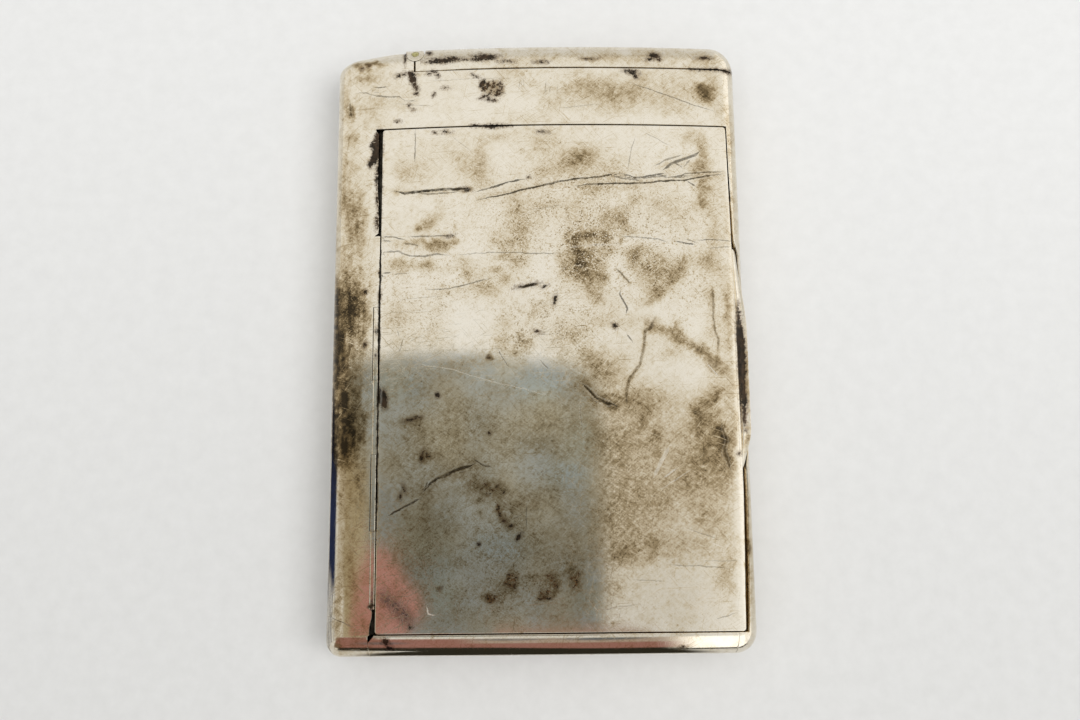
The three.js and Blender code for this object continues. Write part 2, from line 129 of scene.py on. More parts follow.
def front(c, v, w=0.0):
    c, v, w = (np.asarray(q, float) for q in np.broadcast_arrays(c, v, w))
    y, a, r, phi, xt, zt, pz, f = section(v, w, c)
    m = np.abs(c)
    xc = np.where(m <= FIXED, m, FIXED + (m - FIXED) * (xt - FIXED) / (XT0 - FIXED))
    zc = THICK - CROWN * (xc / CROWN_HALF) ** 2 - w - pz
    q = phi + np.clip((m - XT0) / ARC_F, 0, 1) * (PI / 2 - phi)
    u = np.clip((m - XT0 - ARC_F) / WALL_F, 0, 1)
    xa, za = a - r + r * np.sin(q), zt + r * np.cos(q)
    za = za + (SPLIT_Z - za) * u
    on = m <= XT0
    x, z = np.where(on, xc, xa), np.where(on, zc, za)
    # the left side rolls over gently
    z = z - np.where(c < 0, (r / EDGE_R) * np.interp(m - XT0, ROLL_AT, ROLL_FALL) * (1 - u), 0)
    return np.stack([BODY_X + np.sign(c) * x, y, z + (SPLIT_Z - z) * f], -1)


def back(c, v, w=0.0):
    c, v, w = (np.asarray(q, float) for q in np.broadcast_arrays(c, v, w))
    y, a, r, phi, xt, zt, pz, f = section(v, w, c)
    m = np.abs(c)
    xb = a - r + np.where(np.abs(v) >= 45, r * np.sin(phi), 0)
    xc = np.where(m <= FIXED, m, FIXED + (m - FIXED) * (xb - FIXED) / (XB0 - FIXED))
    zc = w + pz
    zb = w + pz + r
    q = np.clip((m - XB0) / ARC_B, 0, 1) * (PI / 2)
    u = np.clip((m - XB0 - ARC_B) / WALL_B, 0, 1)
    xa, za = a - r + r * np.sin(q), zb - r * np.cos(q)
    za = za + (SPLIT_Z - za) * u
    on = m <= XB0
    x, z = np.where(on, xc, xa), np.where(on, zc, za)
    return np.stack([BODY_X + np.sign(c) * x, y, z + (SPLIT_Z - z) * f], -1)


def c_at_x(x):
    """c of a place on the front, at mid length, from its X."""
    m = abs(x - BODY_X)
    if m <= XT0:
        return math.copysign(m, x - BODY_X)
    q = math.asin(min((m - XB0) / EDGE_R, 1))
    return math.copysign(XT0 + (q - PHI0) / (PI / 2 - PHI0) * ARC_F, x - BODY_X)


def c_at_z(z):
    """c of a place on the right-hand rounding, at mid length, from its height."""
    if z >= ZT0:
        return XT0 + (math.acos(min((z - ZT0) / EDGE_R, 1)) - PHI0) / (PI / 2 - PHI0) * ARC_F
    return XT0 + ARC_F + (ZT0 - z)


# ---------------------------------------------------------------- the view, and noise over it
def turn_matrix(t):
    return np.array(Euler(t, "XYZ").to_matrix())


CAM_R = turn_matrix(CAM_TURN)


def seen_at(co):
    """Where points of the case are seen in the view, in pixels."""
    q = (co - CAM_POS) @ CAM_R
    return 540 + LENS_PX * q[..., 0] / -q[..., 2], 360 - LENS_PX * q[..., 1] / -q[..., 2]


def lattice_noise(x, y, seed):
    table = np.random.RandomState(seed).rand(256, 256)
    xi, yi = np.floor(x).astype(int), np.floor(y).astype(int)
    fx, fy = x - xi, y - yi
    fx, fy = fx * fx * fx * (fx * (fx * 6 - 15) + 10), fy * fy * fy * (fy * (fy * 6 - 15) + 10)
    a, b = table[xi % 256, yi % 256], table[(xi + 1) % 256, yi % 256]
    c, d = table[xi % 256, (yi + 1) % 256], table[(xi + 1) % 256, (yi + 1) % 256]
    return (a * (1 - fx) + b * fx) * (1 - fy) + (c * (1 - fx) + d * fx) * fy


def clouds(x, y, seed, octaves=4, gain=0.55):
    total, weight, k = 0.0, 0.0, 1.0
    for i in range(octaves):
        total = total + k * lattice_noise(x * 2 ** i + 17.3 * i, y * 2 ** i - 9.1 * i, seed + i)
        weight += k
        k *= gain
    return total / weight


def ease(t):
    t = np.clip(t, 0, 1)
    return t * t * (3 - 2 * t)


def to_line(u, v, points):
    """Distance from (u, v) to a line of points."""
    best = np.full(np.shape(u), 1e9)
    for (x0, y0), (x1, y1) in zip(points, points[1:]):
        dx, dy = x1 - x0, y1 - y0
        t = np.clip(((u - x0) * dx + (v - y0) * dy) / max(dx * dx + dy * dy, 1e-9), 0, 1)
        best = np.minimum(best, np.hypot(u - x0 - t * dx, v - y0 - t * dy))
    return best


# ---------------------------------------------------------------- meshes
def lines(lo, hi, step, edges=(), near=(0.035, 0.08, 0.14, 0.22)):
    """Values from lo to hi at most step apart, closer together beside each of edges."""
    places = {lo, hi}
    for e in edges:
        places.add(e)
        for n in near:
            places.update((e - n, e + n))
    places = sorted(p for p in places if lo <= p <= hi)
    kept = [places[0]]
    for p in places[1:]:
        if p - kept[-1] > 0.012:
            kept.append(p)
        elif p in edges or p == hi:
            kept[-1] = p
    out = [kept[0]]
    for a, b in zip(kept, kept[1:]):
        n = max(1, math.ceil((b - a) / step - 1e-6))
        out += [a + (b - a) * k / n for k in range(1, n + 1)]
    return np.array(out)


def round_over(d, r):
    """How far a sheet's surface falls at a distance d from its edge, with the edge rounded to r."""
    k = np.maximum(r - np.maximum(d, 0), 0)
    return r - np.sqrt(np.maximum(r * r - k * k, 0))


def to_rect(c, v, c0, c1, v0, v1):
    """Distance from outside to a rectangle."""
    return np.hypot(np.maximum(np.maximum(c0 - c, c - c1), 0), np.maximum(np.maximum(v0 - v, v - v1), 0))


class Piece:
    """Vertices in millimetres and faces of one piece, with the faces of its inner side marked."""

    def __init__(self):
        self.co, self.faces, self.inside = np.zeros((0, 3)), [], []

    def add(self, co, faces, inside=False):
        shift = len(self.co)
        self.co = np.vstack([self.co, co])
        for f in faces:
            self.faces.append(tuple(int(i) + shift for i in f))
            self.inside.append(inside)


def cells(keep):
    i, j = np.nonzero(keep)
    return i, j


def sheet(place, C, V, keep, thick, drop, coarse_inside=False):
    """Sheet metal of an even thickness over the cells of a grid that are kept, closed all round its edges."""
    m, n = C.shape
    base = place(C, V, np.zeros_like(C)).reshape(-1, 3)
    _, first, inv = np.unique(np.round(base / 0.004).astype(np.int64), axis=0, return_index=True, return_inverse=True)
    inv = inv.reshape(m, n)
    outer = place(C, V, drop).reshape(-1, 3)[first]
    inner = place(C, V, np.full_like(C, thick)).reshape(-1, 3)[first]
    i, j = cells(keep)
    quads = np.stack([inv[i, j], inv[i, j + 1], inv[i + 1, j + 1], inv[i + 1, j]], 1)
    faces = []
    for q in quads.tolist():
        f = [a for k, a in enumerate(q) if a != q[k - 1]]
        if len(set(f)) == len(f) and len(f) >= 3:
            faces.append(f)
    count = {}
    for f in faces:
        for a, b in zip(f, f[1:] + f[:1]):
            count[(a, b)] = count.get((a, b), 0) + 1
    rim = [(a, b) for (a, b) in count if (b, a) not in count]
    used = np.zeros(len(first), bool)
    for f in faces:
        used[f] = True
    p = Piece()
    k = len(first)
    p.add(np.vstack([outer, inner]), faces)
    p.outer_count = k
    walls = [(b, a, a + k, b + k) for a, b in rim]
    if coarse_inside:
        # one strip for each column, with every point of the grid's edge kept
        strips = []
        for col in range(n - 1):
            left = [inv[r, col] for r in range(m)] if col == 0 else [inv[0, col], inv[m - 1, col]]
            right = [inv[r, col + 1] for r in range(m)] if col == n - 2 else [inv[0, col + 1], inv[m - 1, col + 1]]
            strips.append([a + k for a in left] + [a + k for a in reversed(right)])
        inside = strips
    else:
        inside = [[a + k for a in reversed(f)] for f in faces]
    for f in walls:
        p.faces.append(tuple(int(q) for q in f))
        p.inside.append(False)
    for f in inside:
        p.faces.append(tuple(int(q) for q in f))
        p.inside.append(True)
    return p


def loop_skin(rings, close_ends=True, closed=True):
    """Skin over rings of equal point count."""
    rings = np.asarray(rings, float)
    m, n = rings.shape[:2]
    faces = []
    for i in range(m - 1):
        for j in range(n if closed else n - 1):
            k = (j + 1) % n
            faces.append((i * n + j, i * n + k, (i + 1) * n + k, (i + 1) * n + j))
    if close_ends:
        faces.append(tuple(reversed(range(n))))
        faces.append(tuple((m - 1) * n + j for j in range(n)))
    p = Piece()
    p.add(rings.reshape(-1, 3), faces)
    p.outer_count = len(p.co)
    return p


def build(name, p, body, nodes, materials, sharp=34, paint=True):
    """The object for a piece. materials is (outside, inside) or one material."""
    mesh = bpy.data.meshes.new(name)
    used = np.zeros(len(p.co), bool)
    for f in p.faces:
        used[list(f)] = True
    index = np.cumsum(used) - 1
    co = p.co[used]
    mesh.from_pydata((co * MM).tolist(), [], [tuple(int(index[i]) for i in f) for f in p.faces])
    for m in materials:
        mesh.materials.append(m)
    if len(materials) > 1:
        mesh.polygons.foreach_set("material_index", np.array(p.inside, np.int32))
    bm = bmesh.new()
    bm.from_mesh(mesh)
    bmesh.ops.recalc_face_normals(bm, faces=bm.faces[:])
    bm.to_mesh(mesh)
    bm.free()
    mesh.polygons.foreach_set("use_smooth", np.ones(len(mesh.polygons), bool))
    mesh.set_sharp_from_angle(angle=math.radians(sharp))
    ob = bpy.data.objects.new(name, mesh)
    bpy.context.scene.collection.objects.link(ob)
    if paint:
        deep = np.arange(len(p.co)) >= getattr(p, "outer_count", len(p.co))
        wear_attributes(mesh, co, deep[used])
    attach(ob, body)
    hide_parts(*nodes)
    return ob


# ---------------------------------------------------------------- wear, placed in the view
# Soft brown tarnish, and dark marks along the hollow of the thumb lift: middle, half sizes, turn in degrees, density.
# All places are in pixels of the view.
TARNISH = [
    # front lid, upper third
    (710, 428, 18, 36, 0, 0.14), (588, 258, 20, 26, 0, 0.16), (352, 300, 12, 40, 0, 0.14),
    (430, 158, 46, 24, 0, 0.16), (400, 172, 22, 10, 0, 0.18), (470, 172, 16, 16, 30, 0.22), (481, 160, 5, 20, 8, 0.40), (492, 142, 13, 5, -25, 0.36),
    (508, 137, 14, 4, -8, 0.26), (540, 146, 24, 16, 0, 0.26), (578, 157, 19, 13, -20, 0.62), (574, 163, 27, 12, -12, 0.36), (580, 155, 11, 8, -20, 0.30),
    (606, 167, 18, 8, 0, 0.22), (548, 172, 20, 9, -15, 0.26), (689, 136, 9, 8, 0, 0.45), (702, 150, 6, 13, -4, 0.62), (703, 165, 7, 9, 0, 0.62),
    (695, 168, 8, 6, 0, 0.62), (702, 190, 6, 15, -4, 0.85), (702, 204, 5, 8, -10, 0.55), (712, 196, 8, 30, 0, 0.28), (670, 166, 14, 7, -20, 0.30),
    (429, 224, 11, 6, -28, 0.72), (420, 228, 4, 4, 0, 0.75), (433, 218, 8, 6, -30, 0.36), (456, 227, 3, 3, 0, 0.7), (440, 208, 6, 8, 0, 0.25),
    (516, 204, 10, 9, 0, 0.38), (520, 213, 7, 7, 0, 0.55), (524, 227, 10, 9, 0, 0.62), (510, 226, 14, 14, 0, 0.28), (512, 243, 16, 9, 0, 0.60),
    (496, 240, 10, 9, 0, 0.35), (540, 218, 8, 26, 0, 0.20), (552, 204, 30, 9, 0, 0.26), (594, 190, 14, 6, 0, 0.42), (609, 214, 8, 6, 20, 0.70),
    (621, 215, 8, 9, 25, 0.80), (624, 222, 7, 5, 40, 0.65), (634, 201, 9, 5, -30, 0.52), (606, 222, 14, 6, 40, 0.5), (631, 230, 10, 4, 0, 0.62),
    (590, 226, 26, 9, 20, 0.45), (664, 206, 20, 9, -20, 0.26), (678, 218, 14, 12, 0, 0.22), (668, 210, 26, 20, 0, 0.16), (715, 236, 8, 16, 0, 0.42),
    # the dark patches in the middle
    (586, 237, 23, 8, 0, 0.72), (573, 238, 8, 6, 0, 1.0), (589, 233, 10, 4, 0, 0.8), (605, 239, 6, 5, 0, 1.1), (620, 239, 3, 4, 0, 1.0),
    (580, 252, 14, 6, -4, 0.9), (582, 264, 11, 15, -12, 1.1), (600, 262, 9, 8, 20, 0.8), (604, 277, 6, 7, -20, 1.0), (592, 276, 14, 12, 0, 0.62),
    (570, 268, 8, 12, 0, 0.6), (561, 262, 6, 12, 0, 0.55), (595, 292, 13, 9, 20, 0.55), (598, 298, 8, 5, 20, 0.5), (608, 250, 10, 5, 0, 0.8),
    (634, 256, 8, 9, 0, 0.85), (640, 250, 14, 5, 0, 0.65), (630, 264, 5, 8, 10, 0.55), (650, 266, 18, 14, 20, 0.42), (656, 276, 18, 14, -20, 0.55),
    (664, 262, 12, 10, 0, 0.40), (676, 272, 9, 12, 38, 0.85), (682, 264, 5, 9, 20, 0.7), (668, 286, 13, 5, -38, 0.75), (657, 289, 9, 8, -30, 0.70),
    (652, 300, 12, 4, -24, 0.65), (645, 270, 8, 8, 0, 0.3), (612, 305, 12, 12, 0, 0.28), (700, 258, 12, 7, 0, 0.40), (714, 262, 10, 12, 0, 0.35),
    # bands beside the creases on the left
    (410, 243, 16, 4, 4, 0.45), (424, 244, 10, 5, 6, 0.72), (437, 246, 9, 6, 10, 1.0), (445, 248, 5, 5, 0, 0.8), (453, 242, 6, 4, -10, 0.85),
    (398, 264, 11, 6, 0, 0.52), (416, 266, 13, 5, 0, 0.62), (428, 266, 6, 8, 0, 0.78), (446, 270, 14, 6, 0, 0.32), (467, 274, 5, 6, 0, 0.80),
    (463, 262, 8, 8, 0, 0.35), (496, 271, 7, 4, 0, 0.75), (507, 278, 7, 5, 0, 0.72), (479, 287, 12, 7, -20, 0.55), (492, 290, 10, 9, 0, 0.50),
    (504, 257, 12, 5, 0, 0.62), (517, 262, 8, 9, 0, 0.62), (526, 252, 5, 12, 0, 0.35), (452, 292, 20, 6, 0, 0.30), (466, 300, 14, 5, 0, 0.30),
    (399, 318, 14, 10, -10, 0.45), (392, 308, 8, 16, 0, 0.26), (404, 338, 20, 14, 0, 0.28), (437, 312, 9, 9, 0, 0.22), (432, 340, 14, 12, 0, 0.26),
    (534, 309, 5, 9, 30, 0.65), (546, 306, 6, 10, 25, 0.42), (537, 324, 9, 14, 0, 0.26), (526, 344, 7, 7, 0, 0.95), (519, 337, 4, 6, -20, 0.6),
    (514, 352, 6, 6, 0, 0.62), (490, 357, 3, 3, 0, 1.1), (500, 340, 7, 10, 0, 0.30), (506, 322, 8, 7, 0, 0.40), (560, 330, 20, 14, 0, 0.42),
    (545, 345, 9, 8, 0, 0.40), (576, 336, 14, 9, 0, 0.40), (480, 362, 26, 6, 0, 0.35), (452, 366, 16, 5, 0, 0.4), (562, 352, 7, 16, 0, 0.25),
    # right of the middle
    (594, 364, 22, 15, 10, 0.62), (590, 353, 12, 7, 0, 0.36), (614, 376, 14, 10, 0, 0.40), (583, 385, 12, 12, 0, 0.36), (600, 322, 16, 8, 0, 0.36),
    (630, 322, 12, 6, 0, 0.36), (653, 327, 9, 6, 10, 0.85), (663, 331, 7, 5, 20, 0.78), (650, 320, 6, 7, 0, 0.5), (678, 338, 8, 7, 35, 1.15),
    (672, 330, 6, 5, 0, 0.7), (690, 345, 10, 4, 22, 0.75), (702, 351, 9, 6, 25, 0.80), (713, 361, 10, 7, 35, 0.95), (720, 368, 9, 8, 0, 0.75),
    (727, 302, 4, 17, 0, 0.75), (708, 296, 7, 12, 0, 0.35), (713, 296, 3, 9, 0, 0.65), (728, 330, 5, 20, 0, 0.42), (672, 352, 10, 8, 0, 0.40),
    (716, 393, 6, 12, 20, 0.75), (708, 402, 9, 7, 0, 0.62), (697, 408, 6, 8, -20, 0.80), (699, 424, 8, 12, 0, 0.62), (713, 420, 14, 12, 0, 0.48),
    (724, 440, 9, 14, -10, 0.95), (729, 460, 6, 16, -10, 0.95), (718, 430, 8, 8, 0, 0.80), (735, 435, 4, 20, 0, 0.70), (710, 455, 14, 18, 0, 0.60),
    (704, 440, 8, 9, 0, 0.55), (731, 385, 7, 24, 0, 0.42), (722, 480, 14, 16, 0, 0.55), (658, 434, 7, 7, 0, 0.80), (644, 423, 5, 6, 0, 0.60),
    (632, 405, 22, 14, 0, 0.45), (655, 400, 24, 18, 0, 0.30), (640, 395, 9, 10, 0, 0.35), (612, 400, 14, 12, 0, 0.40), (614, 430, 14, 10, 0, 0.35),
    (640, 445, 30, 22, 0, 0.42), (618, 470, 22, 22, 0, 0.42), (690, 475, 24, 24, 0, 0.45), (652, 500, 32, 22, 0, 0.34), (610, 510, 18, 26, 0, 0.40),
    (702, 515, 12, 14, 0, 0.60), (720, 520, 14, 22, 0, 0.42), (636, 548, 30, 16, 0, 0.55), (620, 556, 12, 9, 0, 0.55), (655, 540, 10, 8, 0, 0.5),
    (690, 548, 26, 12, 0, 0.35), (724, 575, 11, 18, 0, 0.55), (732, 560, 6, 10, 0, 0.6), (610, 590, 14, 12, 0, 0.26), (600, 440, 10, 20, 0, 0.35),
    # rust on the lower left
    (486, 487, 18, 9, 0, 0.52), (500, 491, 12, 8, 10, 0.50), (474, 484, 8, 6, 0, 0.4), (481, 500, 6, 6, 0, 0.5), (499, 512, 5, 9, 0, 0.6),
    (504, 521, 7, 6, 20, 0.6), (511, 526, 6, 4, 0, 0.6), (520, 510, 12, 12, 0, 0.42), (482, 514, 4, 4, 0, 0.7), (536, 500, 14, 18, 0, 0.36),
    (556, 490, 10, 20, 0, 0.42), (470, 470, 16, 10, 0, 0.4), (450, 470, 14, 8, 0, 0.30), (426, 456, 8, 7, 0, 0.75), (505, 500, 22, 20, 0, 0.35), (418, 428, 10, 7, 30, 0.4), (411, 420, 12, 5, -12, 0.55), (452, 430, 14, 8, 0, 0.22),
    (511, 581, 8, 10, 0, 0.75), (514, 572, 5, 5, 0, 0.7), (491, 598, 8, 6, 20, 0.75), (486, 594, 4, 4, 0, 0.6), (532, 577, 7, 4, 0, 0.7),
    (543, 594, 6, 6, 0, 0.75), (550, 594, 6, 6, 0, 0.6), (551, 577, 9, 7, 0, 0.85), (556, 587, 5, 6, 0, 0.95), (576, 581, 8, 12, 0, 0.95),
    (571, 572, 6, 6, 0, 0.8), (526, 584, 26, 14, 0, 0.32), (498, 590, 14, 12, 0, 0.36), (535, 540, 26, 14, 0, 0.25), (566, 560, 24, 20, 0, 0.25),
    (440, 588, 4, 4, 0, 0.5), (590, 545, 14, 22, 0, 0.22), (575, 600, 16, 10, 0, 0.3), (402, 560, 18, 20, 0, 0.2), (430, 520, 22, 18, 0, 0.2),
    # top border
    (494, 88, 11, 7, 0, 0.9), (600, 93, 44, 16, 0, 0.36), (622, 96, 24, 14, 0, 0.30), (590, 84, 24, 8, 0, 0.30), (640, 84, 14, 10, 0, 0.22), (676, 96, 26, 16, 0, 0.26),
    (711, 92, 14, 16, 0, 0.36), (724, 112, 9, 10, 0, 0.42), (705, 93, 11, 10, 0, 0.40), (352, 138, 11, 9, 0, 0.62), (348, 112, 5, 14, 0, 0.52),
    (366, 76, 18, 9, 0, 0.42), (368, 66, 16, 4, -6, 0.40), (345, 96, 5, 18, 0, 0.32), (364, 112, 18, 9, 0, 0.30), (390, 103, 26, 6, 6, 0.22),
    (372, 124, 16, 6, 0, 0.25), (520, 118, 20, 5, 0, 0.16), (730, 140, 5, 20, 0, 0.4),
    (357, 67, 4, 2.4, 0, 0.8), (365, 69, 6, 2.4, -10, 0.8), (375, 65.4, 8, 2.2, -8, 0.9), (366, 78, 7, 3, 0, 0.6), (350, 112, 2, 7, 0, 0.9), (706.5, 91.5, 7.5, 6, -20, 1.35), (708, 99, 4, 4, 0, 1.1), (700, 86, 4, 3.4, 0, 1.0),
    # left border
    (355, 214, 13, 24, 0, 0.62), (350, 205, 8, 14, 0, 0.40), (360, 230, 10, 12, 0, 0.42), (347, 170, 8, 22, 0, 0.42), (343, 300, 7, 24, 0, 1.05),
    (352, 318, 15, 34, 0, 0.75), (356, 300, 12, 20, 0, 0.70), (343, 345, 7, 30, 0, 1.0), (340, 400, 7, 34, 0, 0.95), (352, 385, 12, 30, 0, 0.55),
    (352, 434, 14, 26, 0, 0.75), (347, 452, 9, 20, 0, 0.62), (358, 480, 10, 24, 0, 0.50), (345, 500, 5, 30, 0, 0.38), (352, 540, 9, 30, 0, 0.24),
    (348, 565, 6, 30, 0, 0.30), (362, 330, 8, 44, 0, 0.40), (350, 590, 10, 22, 0, 0.30), (360, 625, 10, 14, 0, 0.30), (347, 255, 6, 22, 0, 0.36),
    (336, 360, 4, 70, 0, 0.9), (335, 250, 3, 60, 0, 0.55), (364, 260, 9, 20, 0, 0.16), (364, 410, 9, 20, 0, 0.26),
    (347, 314, 11, 30, 0, 0.60), (360, 306, 7, 18, 0, 0.40), (344, 380, 7, 26, 0, 0.50), (349, 430, 11, 22, 0, 0.75), (341, 428, 6, 30, 0, 0.60), (355, 426, 8, 12, 0, 0.40),
    (366, 292, 2.4, 3, 0, 0.8), (338, 330, 4, 50, 0, 0.5), (335, 350, 5, 80, 0, 0.9), (336, 430, 5, 44, 0, 0.8), (349, 240, 9, 24, 0, 0.35), (352, 345, 12, 30, 0, 0.35),
    # end cap
    (590, 57, 40, 5, 0, 0.30), (616, 58, 38, 4, 0, 0.32), (680, 56, 26, 6, 0, 0.26), (540, 58, 20, 4, 0, 0.22), (708, 60, 14, 6, 0, 0.4),
    # right border and thumb lift
    (731, 205, 5, 40, 0, 0.42), (752, 520, 3, 60, 0, 0.12), (754, 600, 3, 40, 0, 0.26), (748.5, 372, 1.6, 26, -2, 1.0), (746.5, 380, 1.2, 30, -2, 0.7), (746, 438, 2.6, 10, 8, 0.9),
    (752, 560, 2, 60, 0, 0.22), (748, 560, 2.2, 60, 0, 1.3), 
    (722, 436, 3, 9, -12, 0.8), (729, 462, 3, 8, -14, 0.9), (717, 398, 3, 7, 20, 0.6), (697, 412, 3, 6, -20, 0.5), (715, 365, 4, 5, 40, 0.5), (579, 262, 6, 9, -10, 0.6), (574, 246, 6, 6, 0, 0.5),
    (590, 236, 8, 3, 0, 0.5), (604, 278, 3, 5, -20, 0.6),
    # broad films
    (660, 480, 80, 70, 0, 0.36), (700, 440, 40, 50, 0, 0.28), (640, 530, 60, 50, 0, 0.26), (354, 250, 16, 40, 0, 0.30), (352, 180, 14, 40, 0, 0.18), (355, 172, 13, 18, 0, 0.14), (352, 505, 15, 18, 0, 0.17), (690, 602, 60, 26, 0, 0.13), (738, 590, 6, 40, 0, 0.14), (350, 420, 16, 50, 0, 0.40),
    (345, 425, 10, 40, 0, 0.75), (341, 560, 6, 110, 0, 0.20), (338, 620, 5, 40, 0, 0.40), (356, 620, 16, 30, 0, 0.26), (470, 58, 50, 6, 0, 0.24), (590, 92, 60, 18, 0, 0.16),
    (420, 385, 50, 24, 0, 0.26), (500, 420, 80, 40, 0, 0.34), (470, 610, 70, 22, 0, 0.30), (610, 400, 60, 40, 0, 0.14), (430, 450, 60, 40, 0, 0.30), (500, 540, 90, 40, 0, 0.32), (420, 540, 40, 40, 0, 0.28), (560, 440, 40, 40, 0, 0.20), (600, 395, 34, 24, 0, 0.26),
]

